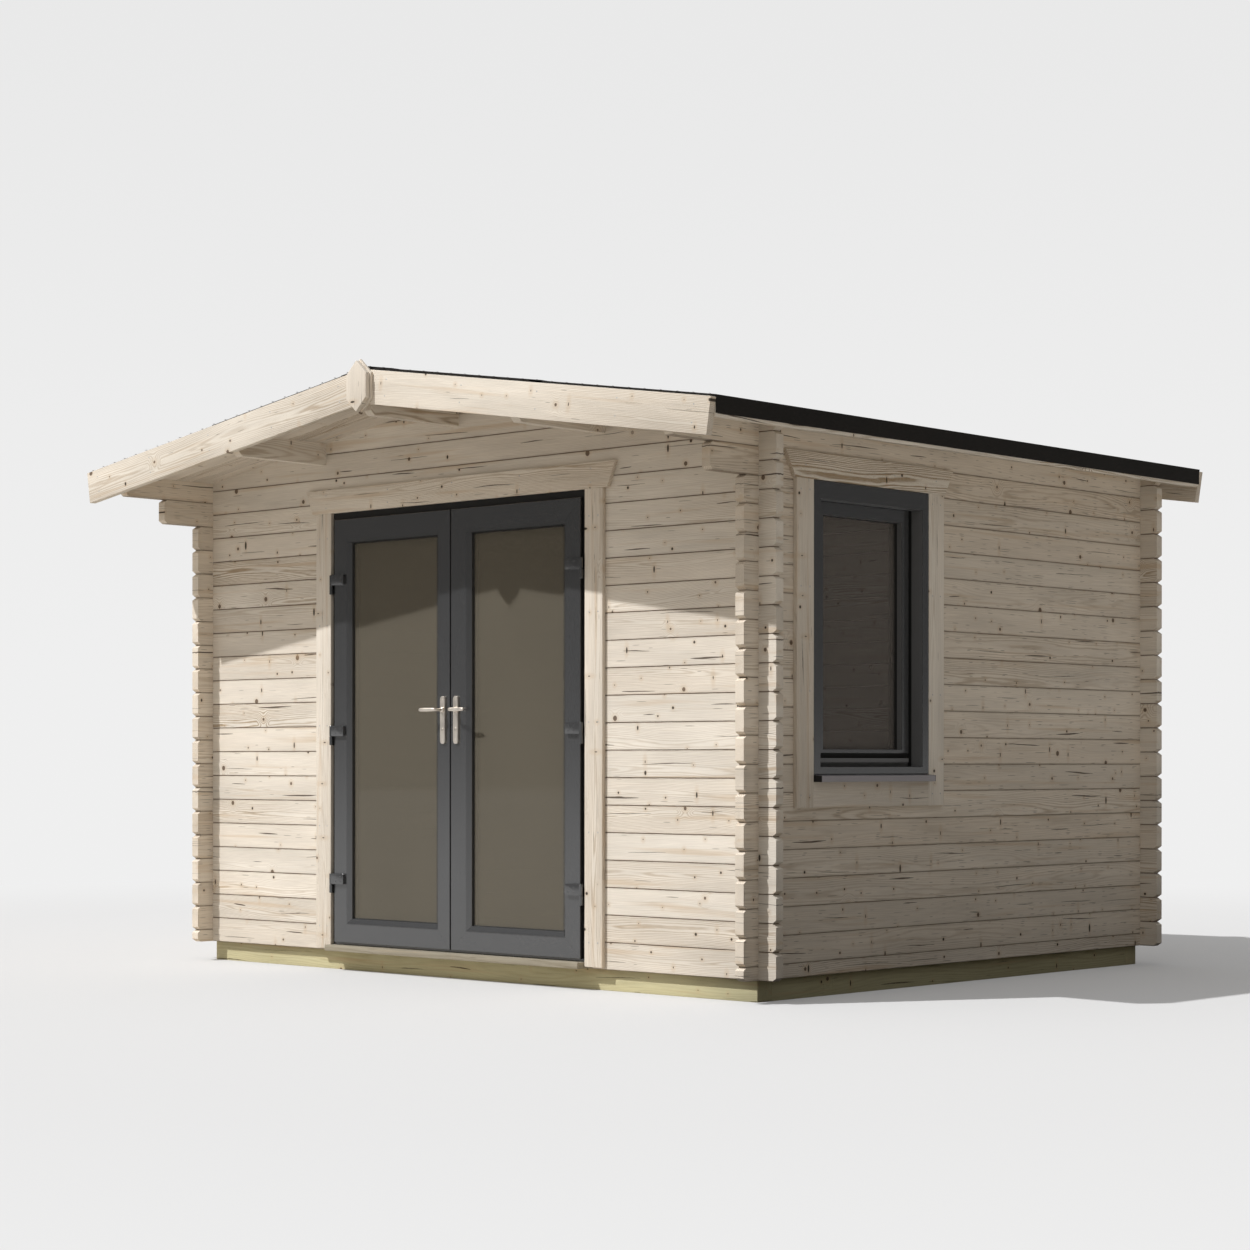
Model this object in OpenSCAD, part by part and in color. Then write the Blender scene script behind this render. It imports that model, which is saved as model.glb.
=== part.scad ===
// Log cabin with a low gable roof, double doors in the front and one window
// in the right-hand wall. Millimetres. +Z up, the doors face -Y, the window
// is on the +X side. The origin lies on the ground in the middle of the plan.

/* [Walls] */
// overall width over the outer faces of the two side walls
wall_width = 3474; // [2800:1:6000]
// overall depth over the outer faces of the front and rear walls
wall_depth = 2844; // [2200:1:6000]
// height of one log course
log_height = 114; // [90:1:150]
// thickness of the wall logs
log_thickness = 44; // [28:1:70]
// how far the log ends run past the wall they cross
log_end = 90; // [50:1:150]
// depth of the groove between two courses
groove = 3; // [2:0.5:8]
// height of the bevel on the top and bottom edges of a log end
end_bevel = 14; // [4:1:25]
// length of that bevel along the log
end_bevel_length = 21; // [4:1:40]

/* [Base] */
// height of the base beams under the walls
beam_height = 90; // [60:1:150]
// width of the base beams
beam_width = 90; // [60:1:150]
// how far the base beams stand in from the wall faces
beam_setback = 32; // [10:1:36]
// thickness of the floor boards
floor_thickness = 27; // [18:1:40]
// width of one floor joist
joist_width = 45; // [35:1:90]

/* [Roof] */
// pitch of the two roof slopes in degrees
roof_pitch = 8.65; // [5:0.05:20]
// underside of the roof boards over the side walls' outer faces, above the ground
roof_seat = 2287.76; // [2280:0.01:2420]
// roof boards past the front wall
overhang_front = 511; // [300:1:800]
// roof boards past the rear wall
overhang_rear = 116; // [100:1:400]
// roof edge past each side wall
overhang_side = 221; // [120:1:400]
// thickness of the roof boards
deck_thickness = 19; // [15:1:28]
// roof boards, insulation and felt together
roof_build = 77; // [50:1:140]
// thickness of the felt
felt_thickness = 4; // [3:0.5:6]
// thickness of the eaves boards
eaves_board = 20; // [16:1:30]
// width of the boards along the gable edges
verge_width = 145; // [100:1:200]
// thickness of the boards along the gable edges
verge_thickness = 32; // [18:1:40]
// width of the diamond plate at the ridge
finial_width = 140; // [100:1:200]
// height of the diamond plate at the ridge
finial_height = 235; // [160:1:300]
// thickness of the diamond plate
finial_thickness = 35; // [18:1:45]
// width of the ridge beam and the two purlins
purlin_width = 44; // [38:1:90]
// depth of the ridge beam at its middle
ridge_depth = 126; // [90:1:180]
// depth of the two side purlins at their middle
purlin_depth = 96; // [70:1:150]
// distance of each side purlin from the middle of the roof
purlin_offset = 883; // [500:1:1200]
// how far the lower bracket log runs forward of the front wall
bracket_length = 290; // [150:1:450]
// play between the roof boards and what carries them
seat_gap = 0.05; // [0.02:0.01:0.3]

/* [Door] */
// half the distance between the upright door trims
door_trim_half = 806; // [650:1:1000]
// width of the upright door trims
trim_width = 102; // [60:1:140]
// thickness of all the trim boards
trim_thickness = 20; // [14:1:28]
// underside of the two head boards above the wall logs' bottom
head_level = 2004; // [1900:1:2020]
// height of the head boards
head_height = 109; // [70:1:140]
// gap between the upright trim and the edge of a door leaf
leaf_reveal = 25; // [20:1:30]
// gap between the two door leaves
leaf_gap = 7; // [6:0.5:12]
// place of the gap between the leaves, from the middle
meeting_x = -8.5; // [-40:0.5:40]
// bottom edge of the door leaves above the wall logs' bottom
leaf_bottom = 38; // [36:1:60]
// top edge of the door leaves above the wall logs' bottom
leaf_top = 1972; // [1800:1:1990]
// width of the flat face of a leaf's frame
stile_face = 88; // [70:1:110]
// the same on the left leaf's meeting edge
left_meeting_face = 76; // [60:1:120]
// the same on the right leaf's meeting edge
right_meeting_face = 98; // [60:1:120]
// width of the sloping glazing bead
bead_width = 22; // [12:1:30]
// how far the threshold stands out from the wall
threshold_reach = 60; // [40:1:90]
// height of one door hinge
hinge_height = 90; // [70:1:120]
// length of a hinge flap on the door leaf, from the pin
hinge_flap = 90; // [60:1:110]
// thickness of that flap
hinge_thickness = 14; // [5:1:15]
// radius of the hinge barrels
barrel_radius = 8; // [7:0.5:9]
// radius of the hinge pins
hinge_pin_radius = 4; // [3:0.25:4.5]
// play round the hinge pins
hinge_play = 0.08; // [0.02:0.02:0.2]

/* [Handles] */
// height of the handle plates
plate_height = 210; // [150:1:260]
// width of the handle plates
plate_width = 29; // [24:1:40]
// thickness of the handle plates
plate_thickness = 9; // [8:0.5:14]
// length of a lever from the middle of its neck
lever_length = 100; // [80:1:120]
// distance of the lever's outer face from the door leaf
lever_reach = 62; // [50:1:75]
// height of the lever's neck above the wall logs' bottom
lever_level = 1093; // [1000:1:1200]
// radius of the lever's spindle and neck
spindle_radius = 7; // [5:0.5:8]
// play round the spindle
spindle_play = 0.08; // [0.02:0.02:0.2]

/* [Window] */
// middle of the window behind the front wall's outer face
window_middle = 711.5; // [650:0.5:1800]
// half the distance between the upright window trims
window_half = 388.5; // [300:0.5:500]
// width of the upright window trims
window_trim = 108; // [60:1:120]
// bottom of the window trims above the wall logs' bottom
window_trim_bottom = 680; // [600:1:720]
// top of the sill's nose above the wall logs' bottom
sill_level = 808; // [790:1:860]
// how far the sill stands out from the wall
sill_reach = 58; // [40:1:90]

/* [Hidden] */
h = log_height;
t = log_thickness;
zb = beam_height;
hw = wall_width / 2;
yf = (overhang_front - overhang_rear - wall_depth) / 2;   // front wall, outer face
yr = yf + wall_depth;                                     // rear wall, outer face
tp = tan(roof_pitch);
cp = cos(roof_pitch);
deck_v = deck_thickness / cp;
build_v = roof_build / cp;
felt_v = felt_thickness / cp;
function und(x) = roof_seat + (hw - abs(x)) * tp;         // underside of the boards
function top(x) = und(x) + build_v;                       // upper face of the felt
function seat(x) = und(x) - seat_gap;                     // top of what carries the boards
courses = ceil((und(0) - zb) / h);                        // front and rear, up to the ridge
door_course = 18;                                         // first full course over the door
edge_x = hw + overhang_side;
deck_x = edge_x - felt_thickness - eaves_board;
ry0 = yf - overhang_front;                                // roof boards, front end
ry1 = yr + overhang_rear;                                 // roof boards, rear end

// door
frame_face = 60;
frame_depth = 56;
leaf_half = door_trim_half - leaf_reveal;
frame_in = leaf_half - 9;
frame_out = frame_in + frame_face;
door_open = frame_out + 4;
frame_low = leaf_bottom + 9;
frame_high = leaf_top - 9;
leaf_y = yf - trim_thickness;                             // outer face of the leaves
lip = 14;
leaf_depth = 66;
core_gap = 6;
core_back = 8;
axis_x = leaf_half + 13;
axis_y = leaf_y - 8;
left_edge = meeting_x - leaf_gap / 2;
right_edge = meeting_x + leaf_gap / 2;
stile = stile_face + bead_width;
pane_y = leaf_y + 25;
door_pane = 24;
hinge_tops = [1720, 1030, 353];
spindle_off = 41.5;
plate_drop = 60;                                          // plate top over the spindle

// window
wy = yf + window_middle;
wf_in = window_half - 43.5;                               // frame: opening, and the box in the wall
wf_out = window_half + 8;
wf_low = sill_level + 36;
wf_high = head_level - 75;
wf_bottom = sill_level - 27;
wf_top = head_level + 4;
win_depth = 100;
sash_set = 30;                                            // sash behind the wall's outer face
sash_half = wf_in - 32;
sash_face = 48;
bar_low = wf_low + 18;                                    // weather bar under the sash
bar_high = bar_low + 18;
sash_low = bar_high + 21;
glass_half = sash_half - sash_face;
glass_low = sash_low + 15;
glass_high = wf_high - 56;
glass_set = 60;
win_pane = 20;

// ---------------------------------------------------------------- helpers
// a stack of logs along +X from a to b, thickness 0..t in Y, joints at zs;
// ea and eb are 1 where that end is a bevelled log end
module log_stack(a, b, ea, eb, zs) {
  n = len(zs) - 1;
  g = groove;
  va = ea * end_bevel_length;
  vb = eb * end_bevel_length;
  v = end_bevel;
  intersection() {
    translate([a - 1, 0, 0]) rotate([90, 0, 90]) linear_extrude(b - a + 2) polygon(concat(
      [for (i = [0:n - 1]) each [[g, zs[i]], [0, zs[i] + g], [0, zs[i + 1] - g]]],
      [[g, zs[n]], [t - g, zs[n]]],
      [for (i = [n - 1:-1:0]) each [[t, zs[i + 1] - g], [t, zs[i] + g], [t - g, zs[i]]]]));
    translate([0, t + 1, 0]) rotate([90, 0, 0]) linear_extrude(t + 2) polygon(concat(
      ea == 0 ? [[a, zs[0]], [a, zs[n]]] :
        concat([for (i = [0:n - 1]) each [[a + va, zs[i]], [a, zs[i] + v], [a, zs[i + 1] - v]]],
               [[a + va, zs[n]]]),
      eb == 0 ? [[b, zs[n]], [b, zs[0]]] :
        concat([[b - vb, zs[n]]],
               [for (i = [n - 1:-1:0]) each [[b, zs[i + 1] - v], [b, zs[i] + v], [b - vb, zs[i]]]])));
  }
}

// the space under the roof boards
module under_roof() {
  translate([0, ry1 + 50, 0]) rotate([90, 0, 0]) linear_extrude(ry1 - ry0 + 100)
    polygon([[-edge_x - 50, 0], [edge_x + 50, 0], [edge_x + 50, seat(edge_x + 50)],
             [0, seat(0)], [-edge_x - 50, seat(edge_x + 50)]]);
}

// half-lap cuts of the front and rear logs where the side logs pass
module front_laps(y) {
  for (s = [-1, 1]) translate([s > 0 ? hw - t : -hw, y - 1, zb]) {
    translate([0, 0, -1]) cube([t, t + 2, h / 4 + 1]);
    for (j = [1:18]) translate([0, 0, (j - 0.25) * h]) cube([t, t + 2, h / 2]);
    translate([0, 0, 18.75 * h]) cube([t, t + 2, h / 4]);
  }
}

// half-lap cuts of the side logs where the front and rear logs pass
module side_laps(x) {
  for (y = [yf, yr - t]) translate([x - 1, y, zb]) {
    for (k = [0:18]) translate([0, 0, (k + 0.25) * h]) cube([t + 2, t, h / 2]);
    translate([0, 0, 19 * h]) cube([t + 2, t, 3 * h]);
  }
}

module front_logs(x0, x1, e0, e1, k0, k1, y) {
  translate([0, y, zb]) log_stack(x0, x1, e0, e1, [for (k = [k0:k1]) k * h]);
}

// side logs: x is the face nearer -X, zs over the wall logs' bottom
module side_logs(x, y0, y1, zs) {
  translate([x + t, 0, zb]) rotate([0, 0, 90]) log_stack(y0, y1, 1, 1, zs);
}

// a bar of the given outline in X and Z, from y0 to y1
module bar_y(pts, y0, y1) {
  translate([0, y1, 0]) rotate([90, 0, 0]) linear_extrude(y1 - y0) polygon(pts);
}

function purlin_outline(x, w, low) = x == 0 ?
  [[-w / 2, low], [w / 2, low], [w / 2, seat(w / 2)], [0, seat(0)], [-w / 2, seat(w / 2)]] :
  [[x - w / 2, low], [x + w / 2, low], [x + w / 2, seat(x + w / 2)], [x - w / 2, seat(x - w / 2)]];

// lower corner taken off the front and rear end of a beam
module beam_tips(x, w, low, c) {
  translate([x - w, 0, 0]) rotate([90, 0, 90]) linear_extrude(2 * w) {
    polygon([[ry0 - 1, low - 1], [ry0 + c, low - 1], [ry0 + c, low], [ry0, low + c], [ry0 - 1, low + c]]);
    polygon([[ry1 + 1, low - 1], [ry1 - c, low - 1], [ry1 - c, low], [ry1, low + c], [ry1 + 1, low + c]]);
  }
}

module ridge_solid() {
  low = und(0) - ridge_depth;
  difference() {
    bar_y(purlin_outline(0, purlin_width, low), ry0, ry1);
    beam_tips(0, purlin_width, low, 20);
  }
}

module purlin_solid(s) {
  low = und(purlin_offset) - purlin_depth;
  difference() {
    bar_y(purlin_outline(s * purlin_offset, purlin_width, low), ry0, ry1);
    beam_tips(s * purlin_offset, purlin_width, low, 20);
  }
}

// pockets in a gable wall for the ridge beam and the purlins, open at the top
module beam_pockets(y) {
  w = purlin_width;
  translate([-w / 2, y - 1, und(0) - ridge_depth]) cube([w, t + 2, 2 * ridge_depth]);
  for (s = [-1, 1]) translate([s * purlin_offset - w / 2, y - 1, und(purlin_offset) - purlin_depth])
    cube([w, t + 2, 2 * purlin_depth]);
}

// a rectangular tube of bars in X and Z around an opening, y0 to y1
module ring_y(x0, x1, z0, z1, w, y0, y1) {
  difference() {
    translate([x0, y0, z0]) cube([x1 - x0, y1 - y0, z1 - z0]);
    translate([x0 + w, y0 - 1, z0 + w]) cube([x1 - x0 - 2 * w, y1 - y0 + 2, z1 - z0 - 2 * w]);
  }
}

// a tapering cut: opening x0..x1, z0..z1 at y1, wider by b at y0
module bead_cut(x0, x1, z0, z1, b, y0, y1) intersection() {
  translate([0, 0, z0 - b - 1]) linear_extrude(z1 - z0 + 2 * b + 2)
    polygon([[x0 - b, y0], [x1 + b, y0], [x1, y1], [x0, y1]]);
  translate([x0 - b - 1, 0, 0]) rotate([90, 0, 90]) linear_extrude(x1 - x0 + 2 * b + 2)
    polygon([[y0, z0 - b], [y1, z0], [y1, z1], [y0, z1 + b]]);
}

// ---------------------------------------------------------------- base
module base_frame() color("#9c9a68") {
  s = beam_setback;
  difference() {
    translate([-hw + s, yf + s, 0]) cube([2 * (hw - s), wall_depth - 2 * s, zb]);
    translate([-hw + s + beam_width, yf + s + beam_width, -1])
      cube([2 * (hw - s - beam_width), wall_depth - 2 * (s + beam_width), zb + 2]);
  }
  for (i = [-2:2]) translate([i * (hw - s - beam_width) / 3 - joist_width / 2, yf + s + beam_width - 1, 0])
    cube([joist_width, wall_depth - 2 * (s + beam_width) + 2, zb]);
}

module floor_boards() color("#d9c49a") difference() {
  translate([-hw + t + 3, yf + t + 3, zb]) cube([2 * (hw - t - 3), wall_depth - 2 * (t + 3), floor_thickness]);
  translate([-frame_out - 2, yf, zb - 1]) cube([2 * (frame_out + 2), frame_depth + 4, floor_thickness + 2]);
}

// ---------------------------------------------------------------- walls
module wall_front_left() color("#dcc79c") difference() {
  front_logs(-hw - log_end, -door_open, 1, 0, 0, door_course, yf);
  front_laps(yf);
}

module wall_front_right() color("#dcc79c") difference() {
  front_logs(door_open, hw + log_end, 0, 1, 0, door_course, yf);
  front_laps(yf);
}

module wall_front_gable() color("#dcc79c") difference() {
  intersection() {
    front_logs(-hw - log_end, hw + log_end, 1, 1, door_course, courses, yf);
    under_roof();
  }
  front_laps(yf);
  beam_pockets(yf);
}

module wall_rear() color("#dcc79c") difference() {
  intersection() {
    front_logs(-hw - log_end, hw + log_end, 1, 1, 0, courses, yr - t);
    under_roof();
  }
  front_laps(yr - t);
  beam_pockets(yr - t);
}

side_zs = concat([0], [for (j = [0:17]) (j + 0.5) * h]);

module window_opening() {
  translate([hw - t - 1, wy - wf_out - 4, zb + wf_bottom - 4])
    cube([t + 2, 2 * (wf_out + 4), wf_top - wf_bottom + 8]);
}

module wall_left() color("#d6c096") difference() {
  side_logs(-hw, yf - log_end, yr + log_end, side_zs);
  side_laps(-hw);
}

module wall_right() color("#d6c096") difference() {
  side_logs(hw - t, yf - log_end, yr + log_end, side_zs);
  side_laps(hw - t);
  window_opening();
}

module bracket_logs() color("#d6c096") difference() {
  for (x = [-hw, hw - t]) side_logs(x, yf - bracket_length, yr + log_end, [17.5 * h, 18.5 * h]);
  for (x = [-hw, hw - t]) side_laps(x);
  window_opening();
}

module top_logs() color("#d6c096") difference() {
  intersection() {
    for (x = [-hw, hw - t]) translate([0, 0, zb + 18.5 * h]) bar_y(
      [[x + groove, 0], [x + t - groove, 0], [x + t, groove], [x + t, 3 * h], [x, 3 * h], [x, groove]], ry0, ry1);
    under_roof();
  }
  for (x = [-hw, hw - t]) {
    side_laps(x);
    beam_tips(x + t / 2, t, zb + 18.5 * h, 12);
  }
}

// ---------------------------------------------------------------- roof
module ridge_beam() color("#d9c49a") ridge_solid();

module purlins() color("#d9c49a") for (s = [-1, 1]) purlin_solid(s);

module roof_deck(s) {
  bar_y(s > 0 ?
    [[0, und(0)], [deck_x, und(deck_x)], [deck_x, und(deck_x) + deck_v], [0, und(0) + deck_v]] :
    [[0, und(0)], [0, und(0) + deck_v], [-deck_x, und(deck_x) + deck_v], [-deck_x, und(deck_x)]],
    ry0, ry1);
}

module roof_boards_left() color("#d9c49a") roof_deck(-1);
module roof_boards_right() color("#d9c49a") roof_deck(1);

eaves_low = und(deck_x) - 10;
eaves_top = top(edge_x - felt_thickness) - felt_v;
flap_low = eaves_low + 14;

module roof_skin() {
  bar_y([[0, und(0) + deck_v], [deck_x, und(deck_x) + deck_v], [deck_x, eaves_top],
         [edge_x - felt_thickness, eaves_top], [edge_x - felt_thickness, flap_low],
         [edge_x, flap_low], [edge_x, top(edge_x)], [0, top(0)]], ry0, ry1);
  bar_y([[0, top(0) - felt_v], [edge_x, top(edge_x) - felt_v], [edge_x, top(edge_x)], [0, top(0)]],
        ry0 - verge_thickness, ry1 + verge_thickness);
}

module roof_cover_right() color("#1d1b1a") roof_skin();
module roof_cover_left() color("#1d1b1a") mirror([1, 0, 0]) roof_skin();

module eaves_boards() color("#d6c096") for (s = [-1, 1]) {
  x0 = s > 0 ? deck_x : -deck_x - eaves_board;
  translate([x0, ry0, eaves_low]) cube([eaves_board, ry1 - ry0, eaves_top - eaves_low]);
}

// board along the gable edge, right-hand slope, end cut square to the slope
module verge_board(y0) {
  vt = verge_width / cp;
  ex = edge_x - verge_width * sin(roof_pitch);
  bar_y([[0.5, top(0.5) - felt_v - vt], [ex, top(ex) - felt_v - vt],
         [edge_x, top(edge_x) - felt_v], [0.5, top(0.5) - felt_v]], y0, y0 + verge_thickness);
}

module verge_boards_front() color("#ead9b4") for (s = [0, 1]) mirror([s, 0, 0]) verge_board(ry0 - verge_thickness);
module verge_boards_rear() color("#ead9b4") for (s = [0, 1]) mirror([s, 0, 0]) verge_board(ry1);

finial_low = top(0) - 117 * finial_height / 235 - 87;
module finial_plate(y0, dir) {
  w = finial_width / 2;
  f = finial_height;
  k = 7;
  // back layer, then a front layer with slightly smaller outline
  bar_y([[0, finial_low], [w, finial_low + 0.27 * f], [w, finial_low + 0.73 * f],
         [0, finial_low + f], [-w, finial_low + 0.73 * f], [-w, finial_low + 0.27 * f]],
        dir > 0 ? y0 : y0 + finial_thickness * 0.4, dir > 0 ? y0 + finial_thickness * 0.6 : y0 + finial_thickness);
  bar_y([[0, finial_low + k], [w - k, finial_low + 0.27 * f + 2], [w - k, finial_low + 0.73 * f - 2],
         [0, finial_low + f - k], [-w + k, finial_low + 0.73 * f - 2], [-w + k, finial_low + 0.27 * f + 2]],
        y0, y0 + finial_thickness);
}

module finials() color("#ead9b4") {
  finial_plate(ry0 - verge_thickness - finial_thickness, -1);
  finial_plate(ry1 + verge_thickness, 1);
}

// ---------------------------------------------------------------- doorway
module door_frame() color("#35373a") difference() {
  translate([-frame_out, yf, zb + floor_thickness])
    cube([2 * frame_out, frame_depth, frame_high + frame_face - floor_thickness]);
  translate([-frame_in, yf - 1, zb + frame_low]) cube([2 * frame_in, frame_depth + 2, frame_high - frame_low]);
}

module threshold() color("#b9a27a") {
  translate([-door_trim_half + 3, yf - threshold_reach, zb])
    cube([2 * (door_trim_half - 3), threshold_reach + 1, floor_thickness]);
  translate([-frame_out, yf, zb]) cube([2 * frame_out, frame_depth + 2, floor_thickness]);
}

module door_trims() color("#e3d0a8") for (s = [-1, 1])
  translate([s > 0 ? door_trim_half : -door_trim_half - trim_width, yf - trim_thickness, zb + 8])
    cube([trim_width, trim_thickness, head_level - 8]);

module head_board(half_low, half_top, y0) {
  bar_y([[-half_low, zb + head_level], [half_low, zb + head_level],
         [half_top, zb + head_level + head_height], [-half_top, zb + head_level + head_height]],
        y0, y0 + trim_thickness);
}

module door_head_board() color("#e3d0a8")
  head_board(door_trim_half + trim_width + 0.24 * head_height, door_trim_half + trim_width + 0.66 * head_height,
             yf - trim_thickness);

// right-hand side; the left is its mirror image
module frame_hinge(z) {
  low = zb + z - hinge_height;
  difference() {
    union() {
      translate([axis_x, axis_y, low]) cylinder(r = barrel_radius, h = 0.45 * hinge_height, $fn = 48);
      translate([axis_x - 4, axis_y, low]) cube([8, yf - axis_y, 0.45 * hinge_height]);
    }
    translate([axis_x, axis_y, low - 1]) cylinder(r = hinge_pin_radius, h = hinge_height, $fn = 48);
  }
  translate([axis_x, axis_y, low]) cylinder(r = hinge_pin_radius, h = hinge_height - 3, $fn = 48);
}

module frame_hinges() color("#35373a") for (z = hinge_tops) {
  frame_hinge(z);
  mirror([1, 0, 0]) frame_hinge(z);
}

module leaf_hinge(z) {
  low = zb + z - hinge_height + 0.45 * hinge_height + 1;
  high = zb + z;
  difference() {
    union() {
      translate([axis_x, axis_y, low]) cylinder(r = barrel_radius, h = high - low, $fn = 48);
      translate([axis_x - hinge_flap, leaf_y - hinge_thickness, low]) cube([hinge_flap - 4, hinge_thickness, high - low]);
    }
    translate([axis_x, axis_y, low - 1])
      cylinder(r = hinge_pin_radius + hinge_play, h = high - low - 1, $fn = 48);
  }
}

module right_door_hinges() color("#35373a") for (z = hinge_tops) leaf_hinge(z);
module left_door_hinges() color("#35373a") mirror([1, 0, 0]) for (z = hinge_tops) leaf_hinge(z);

// a leaf with its meeting edge at m, a face mf wide there, and its hinge edge at leaf_half
module leaf(m, mf) {
  z0 = zb + leaf_bottom;
  z1 = zb + leaf_top;
  y0 = leaf_y;
  x0 = m + mf + bead_width;
  x1 = leaf_half - stile;
  difference() {
    union() {
      translate([m, y0, z0]) cube([leaf_half - m, lip, z1 - z0]);
      translate([m + core_back, y0, z0 + 9 + core_gap])
        cube([frame_in - core_gap - m - core_back, leaf_depth, z1 - z0 - 18 - 2 * core_gap]);
    }
    translate([x0, y0 - 1, z0 + stile]) cube([x1 - x0, leaf_depth + 2, z1 - z0 - 2 * stile]);
    bead_cut(x0, x1, z0 + stile, z1 - stile, bead_width * 13 / 12, y0 - 1, y0 + 12);
    pane(m, mf);
  }
}

module pane(m, mf) {
  x0 = m + mf + bead_width - 12;
  translate([x0, pane_y, zb + leaf_bottom + stile - 12])
    cube([leaf_half - stile + 12 - x0, door_pane, leaf_top - leaf_bottom - 2 * stile + 24]);
}

module right_door_leaf() color("#3b3d40") leaf(right_edge, right_meeting_face);
module left_door_leaf() color("#3b3d40") mirror([1, 0, 0]) leaf(-left_edge, left_meeting_face);
module right_door_glass() color("#8f8a80") pane(right_edge, right_meeting_face);
module left_door_glass() color("#8f8a80") mirror([1, 0, 0]) pane(-left_edge, left_meeting_face);

// handle plate with a through bore for the spindle
module handle_plate(x) {
  w = plate_width;
  translate([x, leaf_y, 0]) rotate([90, 0, 0]) linear_extrude(plate_thickness) difference() {
    translate([-w / 2, zb + lever_level + plate_drop - plate_height]) union() {
      translate([0, w / 4]) square([w, plate_height - w / 2]);
      translate([w / 4, 0]) square([w / 2, plate_height]);
      for (i = [w / 4, 3 * w / 4]) for (j = [w / 4, plate_height - w / 4])
        translate([i, j]) circle(r = w / 4, $fn = 32);
    }
    translate([0, zb + lever_level]) circle(r = spindle_radius + spindle_play, $fn = 48);
  }
}

module lever(x, dir) {
  gap = 0.4;
  translate([x, leaf_y - plate_thickness + 8 - gap, zb + lever_level]) rotate([90, 0, 0])
    cylinder(r = spindle_radius, h = 10, $fn = 48);
  translate([x, leaf_y - plate_thickness - gap, zb + lever_level]) rotate([90, 0, 0])
    cylinder(r = 12, h = 9, $fn = 48);
  translate([x, leaf_y - plate_thickness - gap, zb + lever_level]) rotate([90, 0, 0])
    cylinder(r = spindle_radius, h = lever_reach - plate_thickness - gap - 2, $fn = 48);
  translate([x, leaf_y - lever_reach + 12, zb + lever_level]) rotate([90, 0, 0]) linear_extrude(12) {
    circle(r = 9, $fn = 48);
    translate([dir > 0 ? 0 : -lever_length + 9, -9]) square([lever_length - 9, 18]);
    translate([dir * (lever_length - 9), 0]) circle(r = 9, $fn = 48);
  }
}

left_spindle = meeting_x - spindle_off;
right_spindle = meeting_x + spindle_off;
module left_handle_plate() color("#b9b6b0") handle_plate(left_spindle);
module right_handle_plate() color("#b9b6b0") handle_plate(right_spindle);
module left_lever() color("#c4c1bb") lever(left_spindle, -1);
module right_lever() color("#c4c1bb") lever(right_spindle, 1);

// ---------------------------------------------------------------- window
// built facing -Y about x = 0, then turned to face +X at the right-hand wall
module on_right_wall() {
  translate([hw, wy, zb]) rotate([0, 0, 90]) children();
}

module window_frame() color("#3b3d40") on_right_wall() difference() {
  union() {
    translate([-wf_out, 0, wf_bottom]) cube([2 * wf_out, win_depth, wf_top - wf_bottom]);
    translate([-window_half + 0.5, -trim_thickness, sill_level + 5])
      cube([2 * window_half - 1, trim_thickness + 1, head_level - sill_level - 5.5]);
  }
  translate([-wf_in, -trim_thickness - 1, wf_low]) cube([2 * wf_in, win_depth + trim_thickness + 2, wf_high - wf_low]);
}

module win_pane_solid() {
  translate([-glass_half - 12, glass_set, glass_low - 10])
    cube([2 * glass_half + 24, win_pane, glass_high - glass_low + 20]);
}

module window_sash() color("#3b3d40") on_right_wall() difference() {
  union() {
    translate([-sash_half, sash_set, sash_low]) cube([2 * sash_half, win_depth - sash_set, wf_high - 1 - sash_low]);
    translate([-sash_half, sash_set, bar_low]) cube([2 * sash_half, win_depth - sash_set, bar_high - bar_low]);
    translate([-wf_in, sash_set + 30, wf_low]) cube([2 * wf_in, win_depth - sash_set - 30, wf_high - wf_low]);
  }
  translate([-glass_half, 0, glass_low]) cube([2 * glass_half, win_depth + 2, glass_high - glass_low]);
  win_pane_solid();
}

module window_glass() color("#4a4640") on_right_wall() win_pane_solid();

module window_sill() color("#77737a") on_right_wall() translate([-window_half + 2, 0, 0])
  rotate([90, 0, 90]) linear_extrude(2 * window_half - 4)
    polygon([[0, sill_level - 25], [-sill_reach, sill_level - 25], [-sill_reach, sill_level], [0, sill_level + 4]]);

module window_trims() color("#e3d0a8") on_right_wall() for (s = [-1, 1])
  translate([s > 0 ? window_half : -window_half - window_trim, -trim_thickness, window_trim_bottom])
    cube([window_trim, trim_thickness, head_level - window_trim_bottom]);

module window_head_board() color("#e3d0a8") translate([hw, wy, 0]) rotate([0, 0, 90])
  head_board(window_half + window_trim + 8, window_half + window_trim + 0.64 * head_height, -trim_thickness);

module window_apron() color("#e3d0a8") on_right_wall()
  translate([-window_half, -trim_thickness, window_trim_bottom])
    cube([2 * window_half, trim_thickness, sill_level - 25 - window_trim_bottom]);

base_frame();
floor_boards();
wall_front_left();
wall_front_right();
wall_front_gable();
wall_rear();
wall_left();
wall_right();
bracket_logs();
top_logs();
ridge_beam();
purlins();
roof_boards_left();
roof_boards_right();
roof_cover_left();
roof_cover_right();
eaves_boards();
verge_boards_front();
verge_boards_rear();
finials();
door_frame();
threshold();
door_trims();
door_head_board();
frame_hinges();
left_door_leaf();
left_door_glass();
left_door_hinges();
left_handle_plate();
left_lever();
right_door_leaf();
right_door_glass();
right_door_hinges();
right_handle_plate();
right_lever();
window_frame();
window_sash();
window_glass();
window_sill();
window_trims();
window_head_board();
window_apron();
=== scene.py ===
"""Finished look of the log cabin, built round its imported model.

Metres, +Z up. The doors face -Y and the window is in the +X wall.
"""

import math
import random

import bmesh
import bpy
from mathutils import Matrix, Vector


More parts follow.
